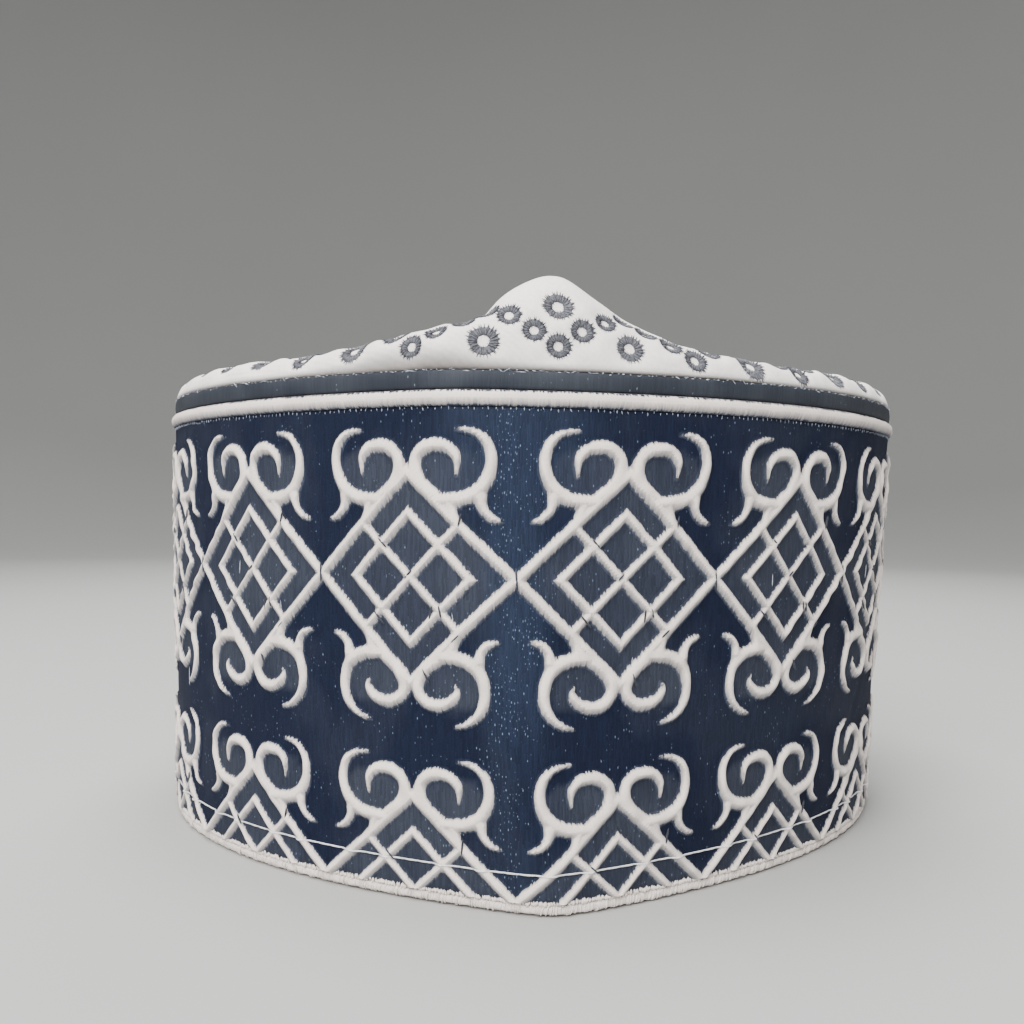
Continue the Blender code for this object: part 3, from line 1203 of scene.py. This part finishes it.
def puffed_material(settings):
    """White puffed cloth whose border is bitten into by upright navy stitches, with painted shade along that
    border.
    """
    net = Finish("puffed white cloth", roughness=0.8, specular=0.12)
    flat = net.flat_place()
    navy, rows = navy_ground_colour(net, flat, settings)
    inside = net.held("inside")
    under = net.held("under")
    reach = net.times(net.plus(net.times(net.math("ABSOLUTE", under), settings.teeth), 0.05), 2.0)
    edge = net.plus(inside, net.times(net.minus(rows["Bite"], 0.45), reach))
    cloth = net.group("kufi soft cloth", Place=flat, Thread=0.00028)
    soft = net.tint(settings.white, cloth["Shade"])
    uneven = net.ramp(rows["Shade"], 0.0, 1.0, 0.78, 1.0)
    # Painted shade along the white's border, broader and darker on its lower sides, which face away from the
    # light from above.
    breadth = net.ramp(under, -0.2, 0.9, 0.40, 1.62)
    strength = net.ramp(under, -0.2, 0.9, 0.74, 0.95)
    painted_edge_shade = net.times(net.ramp(edge, 0.0, breadth, strength, 0.0, "LINEAR"), uneven)
    # Paler navy just under the lower sides of the white: frayed threads, and painted light that lifts the
    # shadow the raised white casts there.
    below = net.ramp(under, -0.1, 0.5, 0.2, 1.0)
    fray_and_painted_light = net.times(net.ramp(edge, -0.55, 0.0, 0.0, 0.8, "LINEAR"), below)
    frayed = net.mix(fray_and_painted_light, navy, FRAYED_AND_LIT_NAVY)
    colour = net.mix(net.ramp(edge, -0.05, 0.06), frayed, net.mix(painted_edge_shade, soft, WHITE_EDGE_SHADE))
    stitches = net.times(rows["Height"], net.ramp(edge, 0.0, 0.55, 0.9, 0.0))
    return net.close(colour, net.plus(stitches, net.times(cloth["Height"], 0.25)), depth=0.00010)


def stripe_material():
    net = Finish("navy satin stripe", roughness=0.6, specular=0.2)
    flat = net.flat_place()
    rows = net.group("kufi stitch rows", Flat=flat, Pitch=0.00030, Length=0.05)
    cloud = net.noise(flat, scale=60.0, detail=2.0, dimensions="2D")
    base = net.mix(net.ramp(cloud, 0.35, 0.65), STRIPE_DARK, STRIPE_LIGHT)
    lit = net.tint(base, net.ramp(rows["Shade"], 0.0, 1.0, 0.92, 1.09, "LINEAR"))
    flecks = net.group("kufi flecks", Flat=flat, Spacing=0.0007, Size=0.10, Share=0.05)
    return net.close(net.mix(flecks["Mask"], lit, STRIPE_FLECK), rows["Height"], depth=0.00002)


def plain_cloth_material(name, colour, thread, depth):
    """White cloth or thread that needs no flat map."""
    net = Finish(name, roughness=0.85, sheen=0.15, specular=0.2)
    cloth = net.group("kufi soft cloth", Place=net.object_place(), Thread=thread)
    return net.close(net.tint(colour, cloth["Shade"]), cloth["Height"], depth)


def thread_material(name, dark, light, roughness):
    """Thread whose strands differ a little in shade."""
    net = Finish(name, roughness, sheen=0.2, specular=0.35)
    strand = net.noise(net.object_place(), scale=1900.0, detail=2.0)
    return net.close(net.mix(net.ramp(strand, 0.3, 0.7), dark, light), strand, depth=0.00006)


def eyelet_material(settings):
    """Grey thread, dark on the thin spikes and streaked along the ring."""
    net = Finish("grey eyelet thread", roughness=0.65, sheen=0.2, specular=0.35)
    strand = net.noise(net.object_place(), scale=2600.0, detail=2.0)
    ring = net.mix(net.ramp(strand, 0.32, 0.60), EYELET_STREAK, settings.eyelet_thread)
    colour = net.mix(net.ramp(net.held("width"), 0.68, 0.82), EYELET_SPIKE, ring)
    return net.close(colour, strand, depth=0.00005)


def satin_ring_material(settings):
    """Grey satin strands that run outwards, darker at both edges of the ring."""
    net = Finish("grey eyelet satin", roughness=0.65, specular=0.25)
    rows = net.group("kufi stitch rows", Flat=net.flat_place(), Pitch=0.00021, Length=0.004)
    ring = net.tint(settings.eyelet_thread, net.ramp(rows["Shade"], 0.0, 1.0, 0.45, 1.25, "LINEAR"))
    colour = net.mix(net.times(net.held("rim"), 0.75), ring, EYELET_RIM)
    return net.close(colour, rows["Height"], depth=0.00005)


def twill_material(settings):
    """White twill with painted shade close to the seam, which makes it a little warmer and darker there."""
    net = Finish("white twill", roughness=0.85, sheen=0.15, specular=0.2)
    place = net.object_place()
    cloth = net.group("kufi soft cloth", Place=place, Thread=0.00045)
    share = net.times(net.held("low"), net.ramp(net.noise(place, scale=55.0, detail=1.0), 0.3, 0.7, 0.8, 1.0))
    shaded = net.mix(share, settings.twill, SEAM_SHADE)
    return net.close(net.tint(shaded, cloth["Shade"]), cloth["Height"], depth=0.00006)


def floor_material(colour):
    net = Finish("pale floor", roughness=0.9, specular=0.1)
    cloud = net.noise(net.object_place(), scale=2.0, detail=2.0)
    return net.close(net.tint(colour, net.ramp(cloud, 0.3, 0.7, 0.985, 1.01)))


class KufiOperator(bpy.types.Operator):
    """Shared ground of the kufi's operators."""

    bl_options = {"REGISTER"}


class KUFI_OT_ground(KufiOperator):
    """Adds the navy embroidered skin of the band and the white cloth behind it"""

    bl_idname = "kufi.ground"
    bl_label = "Band Ground"
    columns = 392
    rows = 62
    skin = 0.0006
    backing_columns = 294

    def execute(self, context):
        settings = context.scene.kufi_band
        heights = np.linspace(BAND_LOW, BAND_LEDGE, self.rows)
        outer = [(-0.0001, BAND_LOW - 0.6 * GAP)] + [(0.0, height) for height in heights]
        outer.append((-0.00004, BAND_LEDGE + 0.95 * GAP))
        inner = [(-self.skin, height) for height in heights[::-3]]
        material = navy_material(settings)
        ground = ring_piece("navy_ground", outer + inner, self.columns, material, self.unevenness)
        add_values(ground.data, "grey", ground_grey(*vertex_flat_places(ground.data).T))
        finish_piece(ground, ["side_band"])
        backing = self.backing(heights)
        finish_piece(backing, ["side_band"])
        return {"FINISHED"}

    def unevenness(self, along, height):
        return 0.00004 * ripple(along, height, seed=3, length=0.006)

    def backing(self, heights):
        skin = self.skin + 0.00005
        outer = [(-skin, height) for height in heights[::6]]
        outer[-1] = (-skin, BAND_LEDGE)
        top = [(-STRIP_SEAT, BAND_LEDGE), (-STRIP_SEAT, SEAM_HEIGHT), (-BAND_WALL, SEAM_HEIGHT)]
        inner = [(-BAND_WALL, height) for _, height in reversed(outer)]
        cloth = plain_cloth_material("band backing cloth", (0.70, 0.67, 0.66), thread=0.0004, depth=0.0001)
        return ring_piece("band_base_cloth", outer + top + inner, self.backing_columns, cloth)


class KUFI_OT_ornament(KufiOperator):
    """Adds the raised white ornament of both tiers"""

    bl_idname = "kufi.ornament"
    bl_label = "Raised Ornament"
    unevenness = 0.16

    def execute(self, context):
        settings = context.scene.kufi_band
        material = puffed_material(settings)
        cut = (BAND_LOW - LOWER_TIER[0]) / LOWER_TIER[1] / MM
        for name, tier, low in (
            ("upper_ornament", UPPER_TIER, -MOTIF_HALF_HEIGHT),
            ("lower_ornament", LOWER_TIER, cut),
        ):
            middle, stretch, shift = tier[:3]
            obj = flat_motif(name, low, MOTIF_HALF_HEIGHT, settings, material)
            start = shift - GIRTH / 2.0
            grow(obj, "kufi repeats", Count=REPEATS, Pitch=PITCH, Start=start, Material=material)
            flat = vertex_places(obj.data)
            flat[:, 1] = middle + stretch * flat[:, 1]
            flat[:, 0] += slant(flat[:, 0], flat[:, 1] - middle, tier)
            lay_map(obj.data, flat[corner_vertices(obj.data)][:, :2])
            along, height, lift = flat.T
            uneven = 1.0 + self.unevenness * ripple(along, height, seed=5, length=0.005)
            move_vertices(obj.data, wrap_band(along, height, np.where(lift > 0.0, lift * uneven, lift)))
            close_seam(obj.data)
            finish_piece(obj)
        return {"FINISHED"}


class KUFI_OT_travel_threads(KufiOperator):
    """Adds the navy threads that cross the white and the loose white threads on the navy"""

    bl_idname = "kufi.travel_threads"
    bl_label = "Travel Threads"

    def execute(self, context):
        navy = thread_material("navy travel threads", (0.008, 0.01, 0.02), (0.03, 0.035, 0.05), roughness=0.6)
        white = thread_material("white jump threads", (0.30, 0.33, 0.38), (0.5, 0.52, 0.56), roughness=0.6)
        for name, slot, material, chart, seed, share, width, lift in (
            ("navy_travel_threads", "navy_embroidery", navy, NAVY_CUTS, 11, 1.0, 0.20, 0.00082),
            ("white_jump_threads", "white_thread", white, WHITE_JUMPS, 12, 0.55, 0.10, 0.00018),
        ):
            points = self.scatter(name, chart, seed, share, width, lift)
            stitch_on_band(points, material, Segments=7, Sides=6, Thread_Radius=MM, Seed=seed)
            finish_piece(points)
        return {"FINISHED"}

    def scatter(self, name, chart, seed, share, width, lift):
        """Points of one chart in every motif, each a little astray, of which a share is kept."""
        draw = np.random.default_rng(seed)
        rows = []
        for repeat in range(-REPEATS // 2, REPEATS // 2):
            for tier in TIERS:
                middle, squeeze, shift = tier[:3]
                for across, up, degrees, length in chart:
                    kept = draw.uniform() < share
                    stray = draw.normal(0.0, 0.25, 2)
                    height = middle + squeeze * (up + stray[1]) * MM
                    stretch = draw.uniform(0.8, 1.15)
                    if kept and height - 0.5 * length * MM > BAND_LOW + 0.0005:
                        along = (repeat + 0.5) * PITCH + shift + (across + stray[0] * (up != 0.0)) * MM
                        along += slant(along, height - middle, tier)
                        turn = math.radians(degrees + draw.normal(0.0, 3.0))
                        rows.append((along, height, turn, length * stretch * MM))
        return stitch_points(name, *np.array(rows).T, width, lift)


class KUFI_OT_trims(KufiOperator):
    """Adds the white welt and the navy stripe under the crown"""

    bl_idname = "kufi.trims"
    bl_label = "Welt And Stripe"
    columns = 784
    back = GAP - STRIP_SEAT

    def execute(self, context):
        settings = context.scene.kufi_band
        self.add_welt(settings)
        self.add_stripe()
        return {"FINISHED"}

    def add_welt(self, settings):
        steps = 12
        turn = np.pi * np.arange(steps + 1) / steps
        lift = -0.0003 + 0.00125 * np.sin(turn) ** 0.75
        height = between(WELT_LOW, WELT_HIGH, 0.5 - 0.5 * np.cos(turn))
        from_top = 1.7 * (WELT_HIGH - height) - 0.00015
        from_edge = np.minimum(height - WELT_LOW, from_top) / MM
        # The lower half counts as an under side, where the material paints broader shade and paints light
        # into the shadow below.
        under = np.where(height - WELT_LOW < from_top, 1.0, -2.4)
        section = list(zip(lift, height)) + [(self.back, WELT_HIGH), (self.back, WELT_LOW)]
        ends = [0.0, 0.0]
        welt = ring_piece(
            "white_welt_cord",
            section,
            self.columns,
            puffed_material(settings),
            lambda along, height: 0.00005 * ripple(along, height, seed=8, length=0.005),
            inside=np.append(from_edge - 0.20, ends),
            under=np.append(under, ends),
            grey=np.zeros(len(section)),
        )
        finish_piece(welt, ["white_welt"])
        thread = thread_material("frayed welt thread", (0.10, 0.13, 0.19), (0.40, 0.43, 0.49), roughness=0.7)
        edge_stitches(
            "welt_fray",
            thread,
            seed=27,
            count=460,
            middle=WELT_LOW - 0.0004,
            reach=(0.0003, 0.0009),
            radius=0.00011,
        )

    def add_stripe(self):
        rows = 7
        sunk = -0.00035
        height = np.linspace(STRIPE_LOW, SEAM_HEIGHT, rows)
        lift = -0.00025 + 0.00035 * np.sin(np.pi * (0.12 + 0.76 * np.linspace(0.0, 1.0, rows)))
        section = [(sunk, STRIPE_LOW - 0.7 * GAP)] + list(zip(lift, height))
        section += [(sunk, SEAM_HEIGHT + 0.7 * GAP), (self.back, SEAM_HEIGHT), (self.back, STRIPE_LOW)]
        stripe = ring_piece(
            "navy_satin_stripe",
            section,
            self.columns,
            stripe_material(),
            lambda along, height: 0.00003 * ripple(along, height, seed=9, length=0.008),
        )
        finish_piece(stripe, ["top_stripe"])


class KUFI_OT_hem(KufiOperator):
    """Adds the white hem roll, its overlock stitches and the stitch line above it"""

    bl_idname = "kufi.hem"
    bl_label = "Overlocked Hem"
    inner_lift = -0.0030
    outer_lift = 0.0005
    thread_room = 0.00045
    squareness = 3.4
    roll_columns = 1176
    roll_corners = 20
    overlock_middle = 0.43
    overlock_reach = 0.86
    line_columns = 1568
    line_sides = 6

    def execute(self, context):
        hem = context.scene.kufi_hem
        band = context.scene.kufi_band
        thread = plain_cloth_material("white overlock thread", band.white, thread=0.00025, depth=0.00006)
        self.add_roll(thread)
        self.add_overlock(hem, thread)
        edge_stitches(
            "hem_edge_stitches",
            thread,
            seed=25,
            count=1500,
            middle=HEM_TOP + 0.0002,
            reach=(0.0007, 0.0013),
            radius=0.00028,
        )
        self.add_stitch_line(band)
        return {"FINISHED"}

    def section(self, share, swell):
        """The rounded hem section: share runs from its foot up its outer face, over and down inside."""
        middle_lift = 0.5 * (self.inner_lift + self.outer_lift)
        half_wide = 0.5 * (self.outer_lift - self.inner_lift) - self.thread_room
        half_high = 0.5 * (HEM_TOP + GAP) - self.thread_room
        turn = 2.0 * np.pi * share - 0.5 * np.pi
        cos, sin = np.cos(turn), np.sin(turn)
        radius = (np.abs(cos) ** self.squareness + np.abs(sin) ** self.squareness) ** (1 / self.squareness)
        lift = middle_lift + (half_wide + swell) * cos / radius
        height = 0.5 * (HEM_TOP + GAP) + (half_high + swell) * sin / radius
        return lift, height

    def add_roll(self, thread):
        lift, height = self.section(np.arange(self.roll_corners) / self.roll_corners, 0.0)
        roll = ring_piece("hem_roll", list(zip(lift, height)), self.roll_columns, thread, self.lumps)
        finish_piece(roll, ["hem_binding"])

    def lumps(self, along, height):
        """Uneven bumps of the roll's outer face."""
        return 0.00010 * ripple(along, height, seed=61, length=0.0026) * (height > 0.0004)

    def add_overlock(self, hem, thread):
        """Stitches laid flat, whose height is a share of the way round the roll, and then bent over it."""
        seed = 21
        draw = np.random.default_rng(seed)
        count = round(GIRTH / hem.overlock_step)
        points = stitch_points(
            "hem_overlock",
            steps_round(count) + draw.normal(0.0, 0.00016, count),
            self.overlock_middle + draw.normal(0.0, 0.03, count),
            0.5 * np.pi,
            self.overlock_reach,
            draw.uniform(0.65, 1.35, count),
        )
        grow(
            points,
            "kufi stitches",
            Segments=13,
            Sides=4,
            Thread_Radius=hem.overlock_thread,
            End_Taper=0.35,
            Length_Jitter=0.08,
            Seed=seed,
            Material=thread,
        )
        along, share, lift = vertex_places(points.data).T
        uneven = 1.0 + 0.9 * ripple(along, 0.0 * share, seed=62, length=0.003)
        sway = 0.0011 * (share - self.overlock_middle) * uneven
        swell = 0.00004 + np.clip(lift, -1.0, 0.00030) + self.lumps(along, 0.002 + 0.0 * share)
        lift, height = self.section(share, swell)
        move_vertices(points.data, wrap_band(along + sway, np.maximum(height, 0.00001), lift))
        face_outwards(points.data)
        finish_piece(points, ["hem_binding"])

    def add_stitch_line(self, band):
        """One line of running stitches that lies on the cloth and dips at the end of each stitch."""
        along = steps_round(self.line_columns)
        waves = ripple(along, np.zeros(self.line_columns), seed=23, length=0.09, count=6)
        height = band.jump_height + 0.00025 * waves
        depth = row_depth(*tier_place(along, height, LOWER_TIER))
        dip = np.abs(np.sin(np.pi * along / band.jump_length))
        lift = 0.00004 + 0.00012 * dip**0.4 + puff_profile(np.maximum(depth, PUFF_FOOT), band.puff)
        turn = 2.0 * np.pi * np.arange(self.line_sides) / self.line_sides
        radius = band.jump_thread * (0.75 + 0.25 * dip[:, None] ** 0.5)
        across = height[:, None] - radius * np.cos(turn)
        points = wrap_band(along[:, None], across, lift[:, None] + radius * np.sin(turn)).reshape(-1, 3)
        tones = ((0.66, 0.66, 0.68), (0.88, 0.86, 0.84))
        thread = thread_material("white running thread", *tones, roughness=0.6)
        faces = faces_round(self.line_columns, self.line_sides)
        line = mesh_object("hem_stitch_line", points, faces, material=thread)
        face_outwards(line.data)
        finish_piece(line)


class KUFI_OT_crown(KufiOperator):
    """Adds the white twill crown with its swells between the eyelets"""

    bl_idname = "kufi.crown"
    bl_label = "Crown Cloth"
    fine_reach = 0.018
    fine_step = 0.00075
    coarse_reach = 0.0405
    coarse_step = 0.0015
    inner_rows = 16
    thickness_share = 0.6

    def execute(self, context):
        settings = context.scene.kufi_crown
        shares = np.arange(settings.columns) / settings.columns
        fine = np.arange(0.0, self.fine_reach, self.fine_step)
        reaches = np.concatenate([fine, np.arange(self.fine_reach, self.coarse_reach, self.coarse_step)])
        inner = np.linspace(0.0, 1.0, self.inner_rows + 2)[1:-1]
        heights = np.concatenate([reaches, np.full(len(inner), reaches[-1])])
        rest = np.concatenate([np.zeros(len(reaches)), inner])
        places = meridians(shares, heights, rest)
        lift = crown_lift(shares[:, None], heights[None, :], settings)
        outer = places + surface_normals(places) * lift[..., None]
        # Painted shade just above the seam, broadest where the cloth bulges left of the front.
        along = (shares[:, None] - FRONT_SHARE) * GIRTH
        breadth = 0.0012 + 0.0046 * np.exp(-(((along - BULGE_PLACE) / BULGE_REACH) ** 2))
        climb = np.clip((heights + 0.04 * rest) / breadth, 0.0, 1.0)
        crown = self.cloth(outer, 1.0 - climb**2 * (3.0 - 2.0 * climb), twill_material(settings))
        cloth = crown.modifiers.new("cloth thickness", "SOLIDIFY")
        cloth.thickness = CROWN_WALL * self.thickness_share
        cloth.offset = -1.0
        finish_piece(crown, ["crown"])
        return {"FINISHED"}

    def cloth(self, places, low, material):
        """A mesh of the cloth with one point at its middle, and how far each point is shaded by the seam."""
        columns, rows = places.shape[:2]
        middle = places[:, -1].mean(axis=0)
        middle[2] = places[:, -1, 2].mean() + 0.00002
        points = np.vstack([places.reshape(-1, 3), middle])
        faces = faces_round(columns, rows, tube=False).tolist()
        for here in range(columns):
            there = (here + 1) % columns
            faces.append([here * rows + rows - 1, there * rows + rows - 1, columns * rows])
        return mesh_object("crown_cloth", points, faces, material=material, low=np.append(low, 0.0))


class KUFI_OT_eyelets(KufiOperator):
    """Adds the stitched eyelets of the crown's edge"""

    bl_idname = "kufi.eyelets"
    bl_label = "Crown Eyelets"
    height = 0.00022
    ring_sides = 28
    strand_run = 0.0016
    usual_radius = 0.0024

    # Across an eyelet's ring. Columns: share of the way out, share of the height, how far it is a dark rim.
    ring_profile = (
        (-0.06, -0.3, 1.0),
        (0.10, 0.75, 0.35),
        (0.55, 1.0, 0.0),
        (0.82, 0.6, 0.2),
        (0.94, -0.3, 1.0),
    )

    def execute(self, context):
        settings = context.scene.kufi_crown
        cloth = CrownCloth(settings)
        draw = np.random.default_rng(41)
        eyelets = self.scatter(draw)
        ring = self.rings(eyelets, draw, satin_ring_material(settings))
        self.sew_on(ring.data, eyelets, cloth)
        finish_piece(ring)
        points = self.lay_out(eyelets, settings, draw)
        grow(
            points,
            "kufi stitches",
            Segments=3,
            Sides=3,
            Thread_Radius=0.00022,
            End_Taper=0.30,
            Length_Jitter=0.06,
            Turn_Jitter=0.05,
            Seed=42,
            Material=eyelet_material(settings),
        )
        self.sew_on(points.data, eyelets, cloth)
        face_outwards(points.data)
        finish_piece(points)
        return {"FINISHED"}

    def scatter(self, draw):
        """Every eyelet's share of the edge, distance up the cloth, outer radius and hole radius."""
        eyelets = []
        for repeat in range(CROWN_REPEATS):
            for place, up, outer, hole in EYELETS:
                share = CROWN_PHASE + (repeat + place) / CROWN_REPEATS
                size = draw.uniform(0.94, 1.06)
                reach = (up - eyelet_drop(share)) * MM + draw.normal(0.0, 0.00012)
                eyelets.append((share, reach, outer * size * MM, hole * size * MM))
        return np.array(eyelets)

    def rings(self, eyelets, draw, material):
        """The flat satin bodies of the rings, rounded up out of the cloth, with radial strands."""
        sides = self.ring_sides
        count = len(eyelets)
        out, rise, rim = np.array(self.ring_profile).T
        rows = len(out)
        number = np.arange(count)[:, None, None]
        side = np.arange(sides)[None, :, None]
        turn = 2.0 * np.pi * side / sides
        hole = eyelets[:, 3][:, None, None]
        span = eyelets[:, 2][:, None, None] - hole
        radius = hole + span * (out + draw.normal(0.0, 0.03, (count, sides, rows)))
        x = EYELET_SPACING * number + radius * np.cos(turn)
        z = np.broadcast_to(rise * self.height, radius.shape)
        points = np.stack([x, radius * np.sin(turn), z], -1).reshape(-1, 3)
        row = np.arange(rows - 1)[None, None, :]
        here = number * sides * rows + side * rows + row
        there = number * sides * rows + (side + 1) % sides * rows + row
        faces = np.stack([here, here + 1, there + 1, there], -1).reshape(-1, 4)
        near = self.strand_run * (turn + 7.0 * number)
        far = near + self.strand_run * 2.0 * np.pi / sides
        low, high, near, far = np.broadcast_arrays(MM * out[:-1], MM * out[1:], near, far)
        flat = np.stack([near, low, near, high, far, high, far, low], -1).reshape(-1, 2)
        return mesh_object("eyelet_rings", points, faces, flat, material, rim=np.tile(rim, count * sides))

    def lay_out(self, eyelets, settings, draw):
        """Points of the radial stitches of a flat row of eyelets: a dense ring, then thin dark spikes."""
        count = len(eyelets)
        hole = eyelets[:, 3:4]
        span = eyelets[:, 2:3] - hole
        rows = []
        for stitches, low, high, width, lift in (
            (settings.eyelet_stitches, -0.10, 0.92, 0.8, 1.0),
            (settings.eyelet_spikes, 0.45, 1.22, 0.68, 0.8),
        ):
            shape = (count, stitches)
            turn = 2.0 * np.pi * np.arange(stitches)[None, :] / stitches + draw.normal(0.0, 0.06, shape)
            start = hole + span * (low + draw.normal(0.0, 0.05, shape))
            end = hole + span * (high + draw.normal(0.0, 0.07, shape))
            x = EYELET_SPACING * np.arange(count)[:, None] + 0.5 * (start + end) * np.cos(turn)
            y = 0.5 * (start + end) * np.sin(turn)
            width = width * eyelets[:, 2:3] / self.usual_radius * np.ones(shape)
            lift = np.full(shape, lift * self.height)
            rows.append([each.ravel() for each in (x, y, turn, end - start, width, lift)])
        return stitch_points("crown_eyelets", *np.hstack(rows))

    def sew_on(self, mesh, eyelets, cloth):
        """Carries each flat eyelet to its place on the crown, in the plane that touches the cloth there."""
        x, y, lift = vertex_places(mesh).T
        which = np.clip(np.round(x / EYELET_SPACING).astype(int), 0, len(eyelets) - 1)
        x = x - which * EYELET_SPACING
        share = eyelets[:, 0]
        up = eyelets[:, 1]
        step = 0.0004
        turn = step / GIRTH
        zero = np.zeros(len(eyelets))
        along = (cloth.place(share + turn, up, zero) - cloth.place(share - turn, up, zero)) / (2.0 * turn)
        climb = (cloth.place(share, up + step, zero) - cloth.place(share, up - step, zero)) / (2.0 * step)
        side = along / np.linalg.norm(along, axis=1, keepdims=True)
        top = climb - (climb * side).sum(axis=1, keepdims=True) * side
        top = top / np.linalg.norm(top, axis=1, keepdims=True)
        climb_top = (climb * top).sum(axis=1)
        climb_side = (climb * side).sum(axis=1)
        along_side = (along * side).sum(axis=1)
        move_up = y / climb_top[which]
        move_share = (x - move_up * climb_side[which]) / along_side[which]
        move_vertices(mesh, cloth.place(share[which] + move_share, up[which] + move_up, lift))


class KUFI_OT_seam_stitches(KufiOperator):
    """Adds the small white stitches between the stripe and the crown"""

    bl_idname = "kufi.seam_stitches"
    bl_label = "Seam Stitches"
    count = 540

    def execute(self, context):
        draw = np.random.default_rng(51)
        points = stitch_points(
            "seam_stitches",
            steps_round(self.count) + draw.normal(0.0, 0.0004, self.count),
            SEAM_HEIGHT + 0.00012 + draw.normal(0.0, 0.00012, self.count),
            draw.normal(0.0, 0.35, self.count),
            draw.exponential(0.0005, self.count) + 0.0003,
            draw.uniform(0.5, 1.2, self.count),
            -0.00008,
        )
        thread = thread_material("white seam thread", (0.13, 0.16, 0.21), (0.50, 0.53, 0.58), roughness=0.6)
        stitch_on_band(points, thread, Segments=4, Sides=4, Thread_Radius=0.00011, Seed=52)
        finish_piece(points)
        return {"FINISHED"}


class KUFI_OT_studio(KufiOperator):
    """Adds the pale floor, the soft lights and the camera"""

    bl_idname = "kufi.studio"
    bl_label = "Studio"
    floor_rings = (0.02, 0.2, 0.5, 0.9, 1.3)
    rim_bend = 0.9
    rim_steps = 12
    rim_height = 1.6
    floor_sides = 96
    aim_height = 0.06

    def execute(self, context):
        settings = context.scene.kufi_studio
        self.add_floor(settings)
        self.add_light("key softbox", (-0.25, -0.90, 0.82), size=1.0, power=settings.key_power)
        self.add_light("top softbox", (-0.15, 0.0, 1.25), size=0.8, power=0.65 * settings.key_power)
        self.add_light("fill softbox", (0.75, -0.55, 0.55), size=0.8, power=settings.fill_power)
        self.add_light("back softbox", (0.1, 0.9, 0.9), size=0.8, power=0.35 * settings.key_power)
        self.add_world(context, settings)
        self.add_camera(context)
        return {"FINISHED"}

    def add_floor(self, settings):
        """A round floor whose rim curves up into a low wall all round."""
        profile = [(radius, 0.0) for radius in self.floor_rings]
        edge = self.floor_rings[-1]
        for step in range(1, self.rim_steps + 1):
            turn = 0.5 * math.pi * step / self.rim_steps
            out, up = self.rim_bend * math.sin(turn), self.rim_bend * math.cos(turn)
            profile.append((edge + out, self.rim_bend - up))
        profile.append((edge + self.rim_bend, self.rim_height))
        sides = self.floor_sides
        points = [(0.0, 0.0, 0.0)]
        for radius, height in profile:
            for side in range(sides):
                turn = 2.0 * math.pi * side / sides
                points.append((radius * math.cos(turn), radius * math.sin(turn), height))
        faces = []
        for side in range(sides):
            after = (side + 1) % sides
            faces.append([0, 1 + side, 1 + after])
            for ring in range(len(profile) - 1):
                low = 1 + ring * sides
                faces.append([low + side, low + sides + side, low + sides + after, low + after])
        floor = mesh_object("pale_floor", points, faces, material=floor_material(settings.floor))

    def add_light(self, name, place, size, power):
        light = bpy.data.lights.new(name, "AREA")
        light.shape = "DISK"
        light.size = size
        light.energy = power
        lamp = bpy.data.objects.new(name, light)
        lamp.location = place
        aim = -lamp.location
        aim.z += self.aim_height
        lamp.rotation_euler = aim.to_track_quat("-Z", "Y").to_euler()
        bpy.context.scene.collection.objects.link(lamp)

    def add_world(self, context, settings):
        world = bpy.data.worlds.new("soft room")
        world.use_nodes = True
        background = world.node_tree.nodes["Background"].inputs
        background["Color"].default_value = (0.93, 0.95, 1.0, 1.0)
        background["Strength"].default_value = settings.world
        context.scene.world = world

    def add_camera(self, context):
        camera = bpy.data.cameras.new("front camera")
        camera.lens = CAMERA_LENS
        camera.sensor_width = 36.0
        camera.clip_start = 0.01
        camera.clip_end = 20.0
        obj = bpy.data.objects.new("front camera", camera)
        turn = Matrix.Rotation(0.5 * math.pi + CAMERA_PITCH, 4, "X") @ Matrix.Rotation(CAMERA_ROLL, 4, "Z")
        obj.rotation_euler = turn.to_euler()
        obj.location = CAMERA_PLACE
        context.scene.collection.objects.link(obj)
        context.scene.camera = obj


OPERATORS = (
    KUFI_OT_ground,
    KUFI_OT_ornament,
    KUFI_OT_travel_threads,
    KUFI_OT_trims,
    KUFI_OT_hem,
    KUFI_OT_crown,
    KUFI_OT_eyelets,
    KUFI_OT_seam_stitches,
    KUFI_OT_studio,
)


class KUFI_PT_panel(bpy.types.Panel):
    """Lists the settings and the steps of the kufi"""

    bl_idname = "KUFI_PT_panel"
    bl_label = "Embroidered Kufi"
    bl_space_type = "VIEW_3D"
    bl_region_type = "UI"
    bl_category = "Kufi"

    def draw(self, context):
        scene = context.scene
        for settings in (scene.kufi_band, scene.kufi_crown, scene.kufi_hem, scene.kufi_studio):
            box = self.layout.box()
            for key in settings.__annotations__:
                box.prop(settings, key)
        for operator in OPERATORS:
            self.layout.operator(operator.bl_idname)


SETTINGS = (
    ("kufi_band", KufiBandSettings),
    ("kufi_crown", KufiCrownSettings),
    ("kufi_hem", KufiHemSettings),
    ("kufi_studio", KufiStudioSettings),
)


def register():
    for name, settings in SETTINGS:
        bpy.utils.register_class(settings)
        setattr(bpy.types.Scene, name, bpy.props.PointerProperty(type=settings))
    for operator in OPERATORS:
        bpy.utils.register_class(operator)
    bpy.utils.register_class(KUFI_PT_panel)


def unregister():
    bpy.utils.unregister_class(KUFI_PT_panel)
    for operator in reversed(OPERATORS):
        bpy.utils.unregister_class(operator)
    for name, settings in reversed(SETTINGS):
        delattr(bpy.types.Scene, name)
        bpy.utils.unregister_class(settings)


def main():
    register()
    bpy.ops.kufi.ground()
    bpy.ops.kufi.ornament()
    bpy.ops.kufi.travel_threads()
    bpy.ops.kufi.trims()
    bpy.ops.kufi.hem()
    bpy.ops.kufi.crown()
    bpy.ops.kufi.eyelets()
    bpy.ops.kufi.seam_stitches()
    bpy.ops.kufi.studio()


if __name__ == "__main__":
    main()
